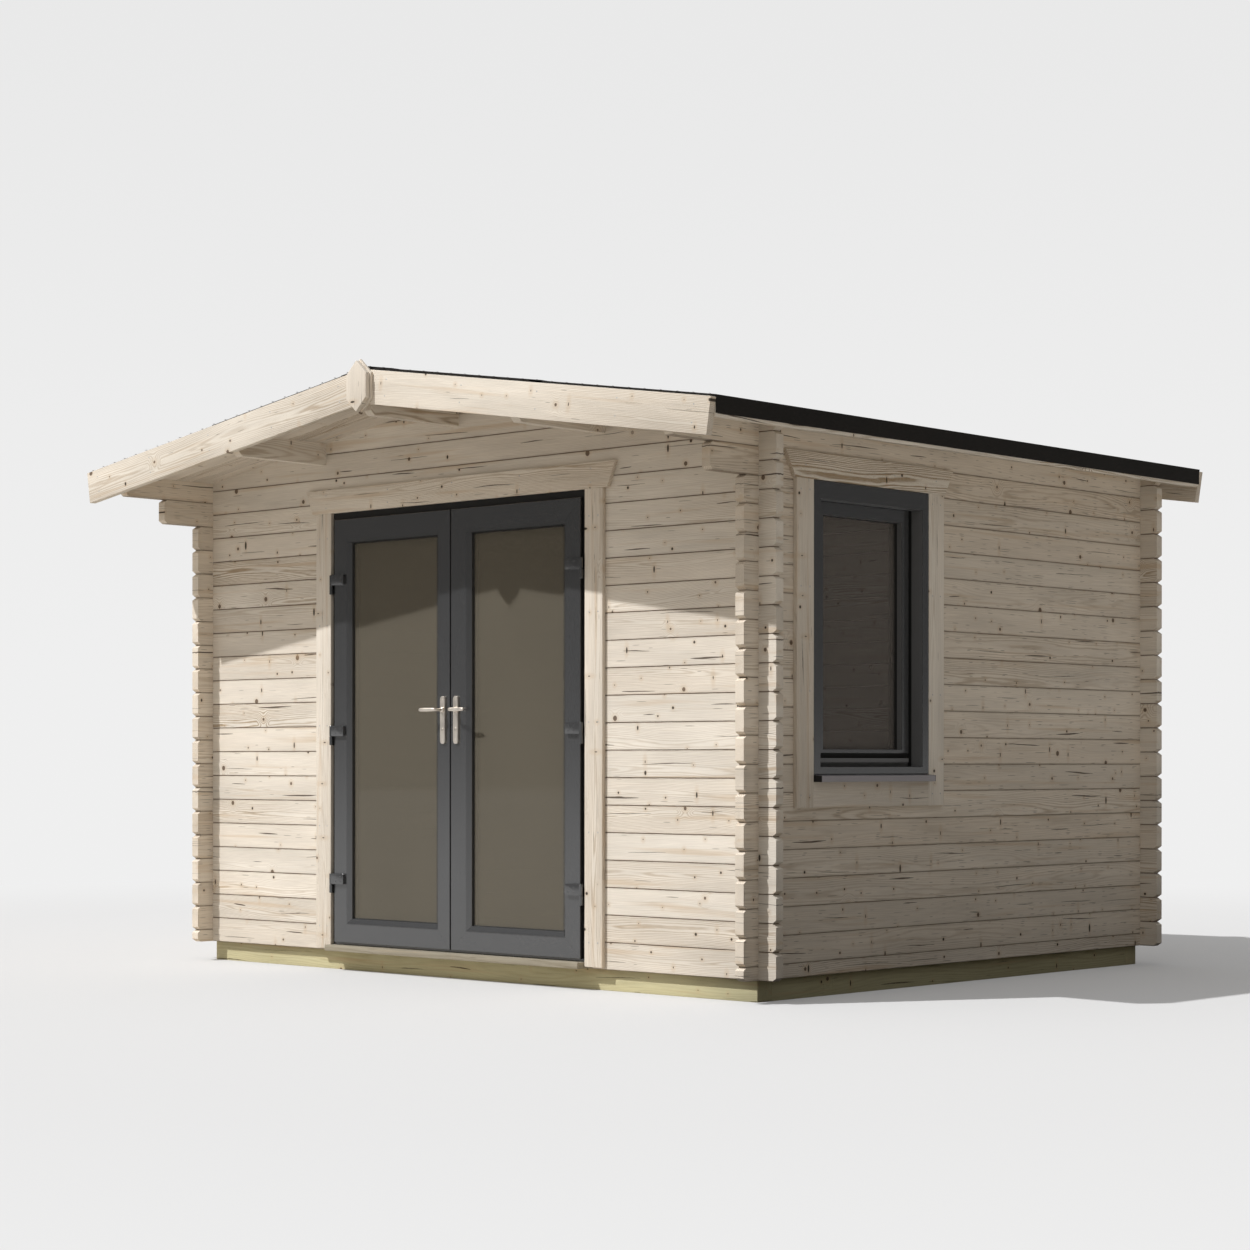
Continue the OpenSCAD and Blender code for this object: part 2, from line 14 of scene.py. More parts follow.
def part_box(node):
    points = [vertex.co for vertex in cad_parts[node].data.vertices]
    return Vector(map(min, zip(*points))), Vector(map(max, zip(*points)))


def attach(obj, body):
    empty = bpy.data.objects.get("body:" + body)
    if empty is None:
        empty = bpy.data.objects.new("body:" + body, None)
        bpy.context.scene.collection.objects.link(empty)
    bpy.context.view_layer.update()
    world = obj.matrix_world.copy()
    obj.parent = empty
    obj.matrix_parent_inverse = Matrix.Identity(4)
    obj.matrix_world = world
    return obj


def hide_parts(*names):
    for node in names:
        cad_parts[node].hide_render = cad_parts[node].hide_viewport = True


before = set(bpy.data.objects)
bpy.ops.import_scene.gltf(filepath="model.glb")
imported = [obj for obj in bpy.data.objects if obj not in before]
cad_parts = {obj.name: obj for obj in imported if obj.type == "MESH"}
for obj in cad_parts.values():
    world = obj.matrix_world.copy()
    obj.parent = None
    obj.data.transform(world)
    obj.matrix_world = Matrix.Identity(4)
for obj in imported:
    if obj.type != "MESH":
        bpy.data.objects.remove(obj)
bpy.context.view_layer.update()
draw = random.Random(20)

# ------------------------------------------------------------------ sizes taken from the model
X, Y, Z = Vector((1, 0, 0)), Vector((0, 1, 0)), Vector((0, 0, 1))
HERE = Matrix.Identity(4)
MIRROR = Matrix.Scale(-1, 4, X)

WALL_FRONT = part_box("wall_front_left")[0].y
WALL_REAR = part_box("wall_rear")[1].y
WALL_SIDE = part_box("wall_right")[1].x
LOG_THICK = WALL_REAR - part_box("wall_rear")[0].y
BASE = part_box("base_frame")[1].z
COURSE = 0.114

PITCH = math.radians(8.65)
SLOPE_RUN = math.cos(PITCH)  # level metres for each metre down the slope
SLOPE_FALL = math.tan(PITCH)  # metres down for each level metre
RIDGE_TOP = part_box("roof_cover_right")[1].z
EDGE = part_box("roof_cover_right")[1].x
SLOPE_LENGTH = EDGE / SLOPE_RUN
ROOF_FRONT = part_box("roof_boards_right")[0].y
ROOF_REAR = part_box("roof_boards_right")[1].y
ROOF_BUILD = 0.077 / SLOPE_RUN
DECK = 0.019
DECK_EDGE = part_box("roof_boards_right")[1].x
VERGE = 0.032
FELT = 0.004
VERGE_DROP = 0.006

LEAF_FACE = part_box("right_door_leaf")[0].y
TRIM = 0.020


def felt_top(x):
    """Height of the roof's upper face at that distance from the ridge."""
    return RIDGE_TOP - abs(x) * SLOPE_FALL


def roof_ways(side):
    """The ways down the slope and square out of it, for the side of the ridge at +X or -X."""
    return Vector((SLOPE_RUN * side, 0, -math.sin(PITCH))), Vector((math.sin(PITCH) * side, 0, SLOPE_RUN))


# ------------------------------------------------------------------ trees of nodes
class Value:
    """A number, vector, colour or shape on its way from node to node."""

    def __init__(self, tree, socket):
        self.tree, self.socket = tree, socket

    def __add__(self, other):
        return self.tree.math("ADD", self, other)

    def __sub__(self, other):
        return self.tree.math("SUBTRACT", self, other)

    def __rsub__(self, other):
        return self.tree.math("SUBTRACT", other, self)

    def __mul__(self, other):
        return self.tree.math("MULTIPLY", self, other)

    def __truediv__(self, other):
        return self.tree.math("DIVIDE", self, other)

    __radd__ = __add__
    __rmul__ = __mul__


class Tree:
    """The nodes of a finish, of the studio or of a repeated piece."""

    def __init__(self, owner):
        self.nodes, self.links = owner.nodes, owner.links

    def node(self, kind, values=None, **settings):
        made = self.nodes.new(kind)
        for key, setting in settings.items():
            setattr(made, key, setting)
        for key, value in (values or {}).items():
            self.put(made.inputs[key], value)
        return made

    def value(self, kind, values=None, output=0, **settings):
        return Value(self, self.node(kind, values, **settings).outputs[output])

    def put(self, socket, value):
        if isinstance(value, Value):
            self.links.new(value.socket, socket)
        elif value is not None:
            socket.default_value = value

    def math(self, operation, a, b=None):
        return self.value("ShaderNodeMath", {0: a, 1: b}, operation=operation)

    def vector(self, x, y, z=0.0):
        return self.value("ShaderNodeCombineXYZ", {0: x, 1: y, 2: z})


class Shade(Tree):
    """The nodes of one finish, or of the studio's world."""

    def __init__(self, name, world=None):
        self.owner = world or bpy.data.materials.new(name)
        self.owner.use_nodes = True
        super().__init__(self.owner.node_tree)
        self.nodes.clear()
        self.output = self.nodes.new("ShaderNodeOutputWorld" if world else "ShaderNodeOutputMaterial")

    def close(self, surface):
        self.put(self.output.inputs["Surface"], surface)
        return self.owner

    def split(self, value):
        made = self.node("ShaderNodeSeparateXYZ", {0: value})
        return [Value(self, socket) for socket in made.outputs]

    def distance(self, x, y):
        return self.value("ShaderNodeVectorMath", {0: self.vector(x, y)}, "Value", operation="LENGTH")

    def noise(self, vector, scale=1.0, detail=2.0, rough=0.5, output=0):
        """Smooth noise: output 0 is one number, and output 1 holds three."""
        values = {"Vector": vector, "Scale": scale, "Detail": detail, "Roughness": rough}
        return self.value("ShaderNodeTexNoise", values, output)

    def spots(self, u, v):
        """Spots scattered over a plane: the way to the nearest one, and its own three random numbers."""
        where = self.vector(u, v)
        cells = self.node("ShaderNodeTexVoronoi", {"Vector": where, "Scale": 1.0}, voronoi_dimensions="2D")
        spot_u, spot_v, _ = self.split(Value(self, cells.outputs["Position"]))
        here_u, here_v, _ = self.split(where)
        return here_u - spot_u, here_v - spot_v, self.split(Value(self, cells.outputs["Color"]))

    def chance(self, vector):
        """Three random numbers for each whole-numbered vector."""
        values = {"Vector": vector}
        return self.split(self.value("ShaderNodeTexWhiteNoise", values, "Color", noise_dimensions="3D"))

    def step(self, value, start, end, low=0.0, high=1.0):
        """Goes smoothly from low at start to high at end."""
        values = {"Value": value, "From Min": start, "From Max": end, "To Min": low, "To Max": high}
        return self.value("ShaderNodeMapRange", values, interpolation_type="SMOOTHSTEP")

    def mix(self, share, a, b, how="MIX"):
        return self.value("ShaderNodeMix", {0: share, 6: a, 7: b}, 2, data_type="RGBA", blend_type=how)

    def scaled(self, colour, by):
        plain = colour[:3] if isinstance(colour, tuple) else colour
        return self.value("ShaderNodeVectorMath", {0: plain, "Scale": by}, operation="SCALE")

    def place(self):
        return self.value("ShaderNodeTexCoord", output="Object")

    def stored(self, name, output):
        return self.value("ShaderNodeAttribute", output=output, attribute_name=name)

    def surface(self, bump=None, **values):
        """The finished surface; bump is its relief in metres."""
        made = self.node("ShaderNodeBsdfPrincipled", {key.replace("_", " "): v for key, v in values.items()})
        if bump is not None:
            relief = self.value("ShaderNodeBump", {"Strength": 1.0, "Distance": 1.0, "Height": bump})
            self.put(made.inputs["Normal"], relief)
        return self.close(Value(self, made.outputs[0]))


def rgb(r, g, b):
    return (r, g, b, 1.0)


# ------------------------------------------------------------------ camera, light and floor
def set_camera():
    data = bpy.data.cameras.new("camera")
    data.lens = 76.35
    data.sensor_width = 36
    data.shift_y = 0.111
    data.clip_end = 200
    camera = bpy.data.objects.new("camera", data)
    camera.location = (8.4623, -9.2489, 0.9491)
    camera.rotation_euler = (math.radians(89.985), math.radians(-0.03), math.radians(42.85))
    bpy.context.scene.collection.objects.link(camera)
    bpy.context.scene.camera = camera
    bpy.context.scene.view_settings.view_transform = "Standard"


def set_sun():
    sun = bpy.data.lights.new("sun", "SUN")
    sun.energy = 3.15
    sun.angle = math.radians(0.8)
    sun.color = (1.0, 0.995, 0.99)
    lamp = bpy.data.objects.new("sun", sun)
    lamp.rotation_mode = "QUATERNION"
    lamp.rotation_quaternion = Vector((0.316, 0.553, -0.771)).to_track_quat("-Z", "Y")
    bpy.context.scene.collection.objects.link(lamp)


HORIZON = rgb(0.865, 0.865, 0.865)
OVERHEAD = rgb(0.815, 0.815, 0.815)
GLOSS_LOSS = 0.84  # share of the backdrop that glosses don't show


def seen_shares(shade):
    """1 where the eye looks straight or through glass, and 1 where it looks by way of a gloss;
    both are 0 where light is gathered."""
    rays = shade.node("ShaderNodeLightPath").outputs
    straight, through, gloss = [
        Value(shade, rays[f"Is {kind} Ray"]) for kind in ("Camera", "Transmission", "Glossy")
    ]
    return shade.math("MAXIMUM", straight, through), gloss


def set_sky():
    world = bpy.data.worlds.new("studio")
    bpy.context.scene.world = world
    sky = Shade("studio", world)
    east, north, height = sky.split(sky.value("ShaderNodeTexCoord", output="Generated"))
    backdrop = sky.mix(sky.step(height, 0.0, 0.3), HORIZON, OVERHEAD)
    straight, gloss = seen_shares(sky)
    # glosses show the backdrop dimmed, as behind the eye a studio is dark
    pale = sky.value("ShaderNodeBackground", {"Color": backdrop, "Strength": 1.0 - gloss * GLOSS_LOSS})
    # the sky is brighter overhead and on the sun's side
    glow = sky.math("MAXIMUM", 0.205 + height * 0.38 - east * 0.165 - north * 0.19, 0.0)
    tint = sky.mix(sky.step(height, 0.0, 0.75), rgb(1.05, 0.96, 0.845), rgb(1.0, 1.0, 1.0))
    gather = sky.value("ShaderNodeBackground", {"Color": sky.scaled(tint, glow)})
    seen = sky.math("MAXIMUM", straight, gloss)
    sky.close(sky.value("ShaderNodeMixShader", {0: seen, 1: gather, 2: pale}))


def floor_finish():
    """A plain floor that fades into the backdrop."""
    floor = Shade("studio_floor")
    x, y, _ = floor.split(floor.place())
    seen = floor.math("MAXIMUM", *seen_shares(floor))
    fade = floor.step(floor.distance(x, y), 5.0, 9.5) * seen
    # to the eye the shadow is lifted; little light is thrown up from beside the window wall
    beside = floor.step(x, 1.25, 1.70, 1.0, 0.05) + floor.step(x, 2.3, 4.8, 0.0, 0.95)
    thrown = floor.scaled(rgb(0.54, 0.505, 0.455), beside)
    tone = floor.mix(seen, thrown, rgb(0.575, 0.577, 0.58))
    ground = floor.value("ShaderNodeBsdfDiffuse", {"Color": tone})
    lift = floor.value("ShaderNodeEmission", {"Color": rgb(0.112, 0.112, 0.113), "Strength": seen})
    lifted = floor.value("ShaderNodeAddShader", {0: ground, 1: lift})
    haze = floor.value("ShaderNodeEmission", {"Color": HORIZON, "Strength": 1.0})
    return floor.close(floor.value("ShaderNodeMixShader", {0: fade, 1: lifted, 2: haze}))


def set_floor():
    half = 60.0
    corners = [(-half, -half, 0), (half, -half, 0), (half, half, 0), (-half, half, 0)]
    mesh = bpy.data.meshes.new("studio_floor")
    mesh.from_pydata(corners, [], [(0, 1, 2, 3)])
    mesh.materials.append(floor_finish())
    ground = bpy.data.objects.new("studio_floor", mesh)
    bpy.context.scene.collection.objects.link(ground)


set_camera()
set_sun()
set_sky()
set_floor()

# ------------------------------------------------------------------ timber
SPRUCE = rgb(0.800, 0.748, 0.670)
# painted shade: darker and warmer than SPRUCE, for the shaded window wall, and used on both side walls
SPRUCE_SHADED_SIDES = rgb(0.786, 0.715, 0.618)
LATEWOOD = rgb(0.43, 0.325, 0.215)
AMBER = rgb(0.56, 0.39, 0.22)
KNOT = rgb(0.070, 0.044, 0.028)
KNOT_HEART = rgb(0.13, 0.080, 0.050)
PIN_KNOT = rgb(0.026, 0.019, 0.014)
CRACK = rgb(0.075, 0.050, 0.033)
# painted shade for the joints between logs
JOINT_SHADE = rgb(0.125, 0.082, 0.050)

RING_SPACING = 0.0056  # metres from one growth ring to the next
# how many of each a metre could hold
KNOTS_ALONG, KNOTS_ACROSS = 2.1, 4.4
PINS = 6.6
CRACKS = 2.35
DASHES_ALONG, DASHES_ACROSS = 12.0, 115.0


class Timber(Shade):
    """Sawn softwood, with another figure in each length."""

    def lay(self, along, across, depth, piece):
        """along, across and depth are metres from the middle of one length, and piece its number."""
        self.along, self.across, self.depth, self.piece = along, across, depth, piece
        self.tone, self.heart, self.contrast = self.chance(self.vector(piece, 3.0))
        self.shift = shift = piece * 3.173
        # slow wander of the heart of the tree along the length
        drift = self.vector(along * 0.95 + shift, shift)
        self.wander = self.split(self.noise(drift, detail=1.5, output=1))
        self.rough = self.noise(self.vector(along * 5.0 + shift, across * 55.0, depth * 55.0), detail=3.0)
        strands = self.vector(along * 7.0 + shift, across * 330.0, depth * 330.0)
        self.fibre = self.noise(strands, detail=3.0, rough=0.62)
        return self

    def large_knots(self, share):
        """The larger knots, the amber round them and the flow of the grain round them."""
        off_u, off_v, (chosen, size, _) = self.spots(
            self.along * KNOTS_ALONG + self.shift, self.across * KNOTS_ACROSS + self.piece * 1.71
        )
        shown = self.step(chosen, 0.50, 0.52) * share
        far = self.distance(off_u / KNOTS_ALONG, off_v / KNOTS_ACROSS)
        radius = 0.0045 + size * 0.0075
        knot = self.step(far, radius * 1.12, radius * 0.92) * shown
        return knot, self.step(far, 0.030, 0.006) * shown, self.step(far, 0.055, 0.0) * shown

    def growth_rings(self, flow):
        """Rings round the heart, which is nearer in some lengths than in others."""
        off_across = self.across - (self.heart - 0.5) * 0.085 - (self.wander[0] - 0.5) * 0.13
        off_depth = self.depth + 0.010 + self.contrast * 0.045 + (self.wander[1] - 0.5) * 0.05
        radius = self.distance(off_across, off_depth) + (self.rough - 0.5) * 0.0075 + flow * 0.020
        rings = self.math("SINE", radius * (2 * math.pi / RING_SPACING)) * 0.5 + 0.5
        return self.math("POWER", rings, 2.2)

    def pin_knots(self, share):
        """Pin knots, some of them cut lengthwise into short upright dashes, and the amber round them."""
        off_u, off_v, (chosen, size, cut) = self.spots(
            self.along * PINS + self.shift, self.across * PINS + self.piece * 2.37
        )
        shown = self.step(chosen, 0.16, 0.18)
        squash = self.step(cut, 0.60, 0.90, 1.0, 0.34)
        far = self.distance(off_u / PINS, off_v / PINS * squash)
        radius = 0.0021 + self.math("POWER", size, 2.5) * 0.0046
        knot = self.step(far, radius * 1.25, radius * 0.75) * shown * share
        return knot, self.step(far, 0.020, 0.004) * shown * 0.26 * share

    def cracks(self):
        """Drying cracks along the grain, one at most in each stretch."""
        run = self.along * CRACKS + self.shift
        stretch = self.math("FLOOR", run)
        start, side, length = self.chance(self.vector(stretch, self.piece, 7.0))
        chosen, width, _ = self.chance(self.vector(stretch, self.piece, 11.0))
        off_along = (run - stretch - 0.30 - start * 0.4) / CRACKS
        off_across = self.across - (side - 0.5) * 0.084 - (self.wander[1] - 0.5) * 0.085
        off_across = off_across - (self.rough - 0.5) * 0.011
        half = 0.030 + length * 0.13
        narrow = 1.0 - self.math("POWER", self.math("ABSOLUTE", off_along / half), 2.0)
        open_by = self.math("MAXIMUM", narrow, 0.0) * (0.0010 + self.math("POWER", width, 3.0) * 0.0034)
        crack = self.step(self.math("ABSOLUTE", off_across), open_by + 0.0004, open_by * 0.45)
        return crack * self.step(narrow, 0.02, 0.12) * self.step(chosen, 0.46, 0.48)

    def torn_grain(self, share):
        """Short fine dashes where the plane has torn the grain."""
        off_u, off_v, (chosen, length, strength) = self.spots(
            self.along * DASHES_ALONG + self.shift, self.across * DASHES_ACROSS + self.piece * 1.37
        )
        far = self.distance(off_u * (0.5 + length * 1.9), off_v * 2.4)
        torn = self.step(far, 0.42, 0.22) * self.math("LESS_THAN", chosen, share)
        return torn * (0.15 + strength * 0.5)

    def bare_wood(self, colour, late, figure, rings):
        """The wood's own colour, with its growth rings and its warmer streaks."""
        along, across, depth, shift = self.along, self.across, self.depth, self.shift
        clouds = self.vector(along * 1.9 + shift, across * 13.0 + self.piece, depth * 13.0)
        cloud = self.noise(clouds, detail=3.0)
        streaks = self.vector(along * 1.25 - shift, across * 31.0 + self.piece, depth * 12.0)
        warm = self.step(self.noise(streaks), 0.56, 0.74)
        strength = self.step(self.contrast, 0.30, 0.95, 0.24, 0.98)
        strength = strength * self.step(self.wander[2], 0.30, 0.62, 0.35, 1.2) * figure
        light = 1.0 + (self.tone - 0.5) * 0.16 + (cloud - 0.5) * 0.42 + (self.fibre - 0.5) * 0.36
        paint = self.scaled(colour, light)
        redder = self.mix(1.0, paint, AMBER, "MULTIPLY")
        paint = self.mix(self.step(self.heart, 0.0, 1.0, 0.0, 0.10), paint, redder)
        paint = self.mix(rings * strength, paint, self.mix(0.4, late, paint, "MULTIPLY"))
        return self.mix(warm * 0.36, paint, AMBER)

    def paint_joint_shade(self, paint, gap, joint):
        """Paints shade at the edges of a log, gap metres from the joint with the next one: a wide faint band
        and a thin dark line, both painted shade of the deep joint.
        """
        ragged = self.noise(self.vector(self.along * 9.0 + self.shift, self.piece, 0.0), detail=3.0)
        edge = (ragged - 0.5) * 0.0036
        # painted shade: a faint wide band beside the joint, then a thin dark line in the gap
        paint = self.mix(self.step(gap + edge, 0.011, 0.0) * 0.20, paint, JOINT_SHADE)
        return self.mix(self.step(gap + edge, 0.0026, 0.0012) * joint, paint, JOINT_SHADE)

    def sawn(self, colour, late=LATEWOOD, figure=1.0, knots=1.0, dashes=0.03, gap=None, joint=0.84):
        """The finished timber. figure, knots and dashes say how strongly each of them shows, joint how
        strongly the painted shade line in the joint shows, and gap, if given, is the distance to the joint
        with the next log."""
        knot, halo, flow = self.large_knots(knots)
        rings = self.growth_rings(flow)
        paint = self.bare_wood(colour, late, figure, rings)
        paint = self.mix(halo * 0.28, paint, AMBER)
        knot_colour = self.mix(self.step(self.fibre, 0.3, 0.7), KNOT, KNOT_HEART)
        paint = self.mix(knot * 0.86, paint, knot_colour)
        pin, pin_halo = self.pin_knots(knots)
        paint = self.mix(pin_halo, paint, AMBER)
        paint = self.mix(pin * 0.92, paint, PIN_KNOT)
        crack = self.cracks()
        paint = self.mix(crack * 0.9, paint, CRACK)
        paint = self.mix(self.torn_grain(dashes), paint, CRACK)
        # painted shade at the joints between logs
        if gap is not None:
            paint = self.paint_joint_shade(paint, gap, joint)
        relief = (self.fibre - 0.5) * 0.00022 - rings * 0.00006 - crack * 0.0012
        relief = relief - pin * 0.0003 - knot * 0.0003
        roughness = self.step(self.fibre, 0.2, 0.8, 0.56, 0.74)
        return self.surface(Base_Color=paint, Roughness=roughness, Specular_IOR_Level=0.14, bump=relief)


DOOR_COURSES = 17.5  # the courses below this are cut by the doorway


def log_finish(name, runs_along_x, colour, **look):
    """The logs of the model's own walls. Each log's number comes from its course and its wall."""
    wood = Timber(name)
    x, y, z = wood.split(wood.place())
    along, through = (x, y) if runs_along_x else (y, x)
    level = (z - BASE) / COURSE - (0.0 if runs_along_x else 0.5)
    course = wood.math("FLOOR", level)
    across = (level - course - 0.5) * COURSE
    far_wall = wood.math("GREATER_THAN", through, 0.0)
    if runs_along_x:
        near, far = WALL_FRONT + LOG_THICK / 2, WALL_REAR - LOG_THICK / 2
        beside_door = wood.math("GREATER_THAN", x, 0.0) * wood.math("LESS_THAN", course, DOOR_COURSES)
        piece = course + far_wall * 31.0 + beside_door * (1.0 - far_wall) * 53.0
    else:
        near, far = -WALL_SIDE + LOG_THICK / 2, WALL_SIDE - LOG_THICK / 2
        piece = course + 101.0 + far_wall * 37.0
    depth = through - near - far_wall * (far - near)
    gap = COURSE / 2 - wood.math("ABSOLUTE", across)
    return wood.lay(along, across, depth, piece).sawn(colour, gap=gap, **look)


def beam_finish(name):
    """The ridge beam and the purlins, which are single lengths along the cabin."""
    spacing, ridge_middle, drop = 0.883, 2.486, -0.118
    wood = Timber(name)
    x, y, z = wood.split(wood.place())
    number = wood.math("ROUND", x * (1 / spacing))
    middle = wood.math("ABSOLUTE", number) * drop + ridge_middle
    return wood.lay(y, z - middle, x - number * spacing, number + 205.0).sawn(SPRUCE, knots=0.8)


def board_finish(name, colour, late=LATEWOOD, **look):
    """Boards that carry their own grain directions."""
    wood = Timber(name)
    along, across, depth = wood.split(wood.stored("grain", "Vector"))
    return wood.lay(along, across, depth, wood.stored("board", "Fac")).sawn(colour, late, **look)


# ------------------------------------------------------------------ other finishes
def coated_finish(name, colour, grain, roughness, gloss=0.16, bend=1.5):
    """Foil or powder coat on the door and window profiles."""
    shade = Shade(name)
    along, across, depth = shade.split(shade.stored("grain", "Vector"))
    foil = shade.noise(shade.vector(along * 40.0, across * 700.0, depth * 700.0), detail=3.0, rough=0.6)
    cloud = shade.noise(shade.vector(along * 2.5, across * 9.0, depth * 9.0))
    dust = shade.noise(shade.place(), scale=900.0)
    light = 1.0 + (cloud - 0.5) * 0.14 + (foil - 0.5) * 0.12 + (dust - 0.5) * 0.08
    return shade.surface(
        Base_Color=shade.scaled(colour, light),
        Roughness=shade.step(foil, 0.2, 0.8, roughness * 0.85, roughness * 1.2),
        Specular_IOR_Level=gloss,
        IOR=bend,
        bump=(foil - 0.5) * grain + (dust - 0.5) * grain * 0.6,
    )


# black rubber for the real seals and the keyway, and for black pieces put as painted shade in dark gaps
def rubber_and_painted_shade_finish():
    shade = Shade("gasket_rubber")
    dust = shade.noise(shade.place(), scale=600.0)
    return shade.surface(
        Base_Color=shade.scaled(rgb(0.028, 0.028, 0.028), 0.8 + dust * 0.5),
        Roughness=shade.step(dust, 0.3, 0.7, 0.60, 0.80),
        Specular_IOR_Level=0.12,
        bump=(dust - 0.5) * 0.00003,
    )


def glass_finish(name, colour, cover):
    """Toned glass: part of it shows the coating, and the rest lets the room be seen."""
    shade = Shade(name)
    x, y, z = shade.split(shade.place())
    film = shade.noise(shade.vector(x * 1.7, y * 1.7, z * 0.9))
    return shade.surface(
        Base_Color=shade.scaled(colour, 0.94 + film * 0.12),
        Roughness=0.03,
        Alpha=shade.step(film, 0.3, 0.7, cover - 0.015, cover + 0.015),
        Specular_IOR_Level=0.20,
    )


def felt_finish():
    """Mineral granules on bitumen felt."""
    shade = Shade("mineral_felt")
    where = shade.place()
    granules = shade.node("ShaderNodeTexVoronoi", {"Vector": where, "Scale": 620.0}, voronoi_dimensions="3D")
    far = Value(shade, granules.outputs["Distance"])
    grey, _, _ = shade.split(Value(shade, granules.outputs["Color"]))
    patch = shade.noise(where, scale=2.3, detail=4.0)
    x, y, _ = shade.split(where)
    worn = shade.noise(shade.vector(x * 1.5, y * 9.0))
    light = 0.55 + shade.math("POWER", grey, 3.0) * 1.5 + (patch - 0.5) * 0.5 + (worn - 0.5) * 0.25
    return shade.surface(
        Base_Color=shade.scaled(rgb(0.0195, 0.0175, 0.0155), light),
        Roughness=shade.step(grey, 0.0, 1.0, 0.78, 0.95),
        Specular_IOR_Level=0.22,
        bump=shade.step(far, 0.0, 0.8, 0.0007, 0.0),
    )


def metal_finish(name, colour, roughness, brushed=0.00002):
    """Brushed upright, with a few smears."""
    shade = Shade(name)
    x, y, z = shade.split(shade.place())
    brush = shade.noise(shade.vector(x * 2200.0, y * 2200.0, z * 90.0))
    smear = shade.noise(shade.place(), scale=38.0, detail=3.0)
    return shade.surface(
        Base_Color=shade.scaled(colour, 0.93 + brush * 0.08 + smear * 0.06),
        Metallic=1.0,
        Roughness=shade.step(smear, 0.3, 0.7, roughness - 0.04, roughness + 0.07),
        bump=(brush - 0.5) * brushed,
    )


LOGS_ACROSS = log_finish("spruce_logs_across", True, SPRUCE, figure=0.8, dashes=0.04)
LOGS_ALONG = log_finish("spruce_logs_along", False, SPRUCE_SHADED_SIDES, figure=0.5, dashes=0.24, joint=0.55)
BEAMS = beam_finish("spruce_beams")
BOARDS = board_finish("spruce_boards", SPRUCE, figure=1.1)
FACINGS = board_finish("spruce_facing_boards", rgb(0.815, 0.765, 0.685), figure=2.5)
DECKING = board_finish("spruce_matchboard", rgb(0.74, 0.68, 0.60), knots=0.6)
TREATED = board_finish("treated_timber", rgb(0.59, 0.558, 0.360), rgb(0.40, 0.33, 0.16), figure=0.45)
OAK = board_finish("threshold_wood", rgb(0.35, 0.32, 0.255), rgb(0.22, 0.18, 0.12), figure=0.4, knots=0.15)
ANTHRACITE = coated_finish("anthracite_foil", rgb(0.043, 0.044, 0.0462), 0.000007, 0.18, 1.0, 1.6)
# a lighter copy of the anthracite: painted light for recessed faces that stand in shade
ANTHRACITE_PAINTED_LIGHT = coated_finish("anthracite_lining", rgb(0.180, 0.183, 0.190), 0.000007, 0.5, 0.25)
SILL_COAT = coated_finish("grey_sill_coat", rgb(0.385, 0.37, 0.395), 0.00002, 0.40)
RUBBER_AND_PAINTED_SHADE = rubber_and_painted_shade_finish()
DOOR_GLASS = glass_finish("door_glass", rgb(0.181, 0.163, 0.128), 0.48)
WINDOW_GLASS = glass_finish("window_glass", rgb(0.30, 0.275, 0.255), 0.22)
FELT_FINISH = felt_finish()
SATIN = metal_finish("satin_steel", rgb(0.75, 0.685, 0.605), 0.44)
ZINC = metal_finish("zinc_fixings", rgb(0.50, 0.50, 0.50), 0.42, 0.0)


# ------------------------------------------------------------------ ways of making a piece
SEAM = 0.00015  # half the hairline at each mitre
HEAD = 3  # an opening's sides come in the order left, right, low and head


def bridge(shape, rings):
    """Faces between neighbouring rings of corners, any of which may be a single point."""
    for under, over in zip(rings, rings[1:]):
        steps = max(len(under), len(over))
        for i in range(steps):
            j = (i + 1) % steps
            if len(under) == 1:
                shape.faces.new((under[0], over[j], over[i]))
            elif len(over) == 1:
                shape.faces.new((under[i], under[j], over[0]))
            else:
                shape.faces.new((under[i], under[j], over[j], over[i]))


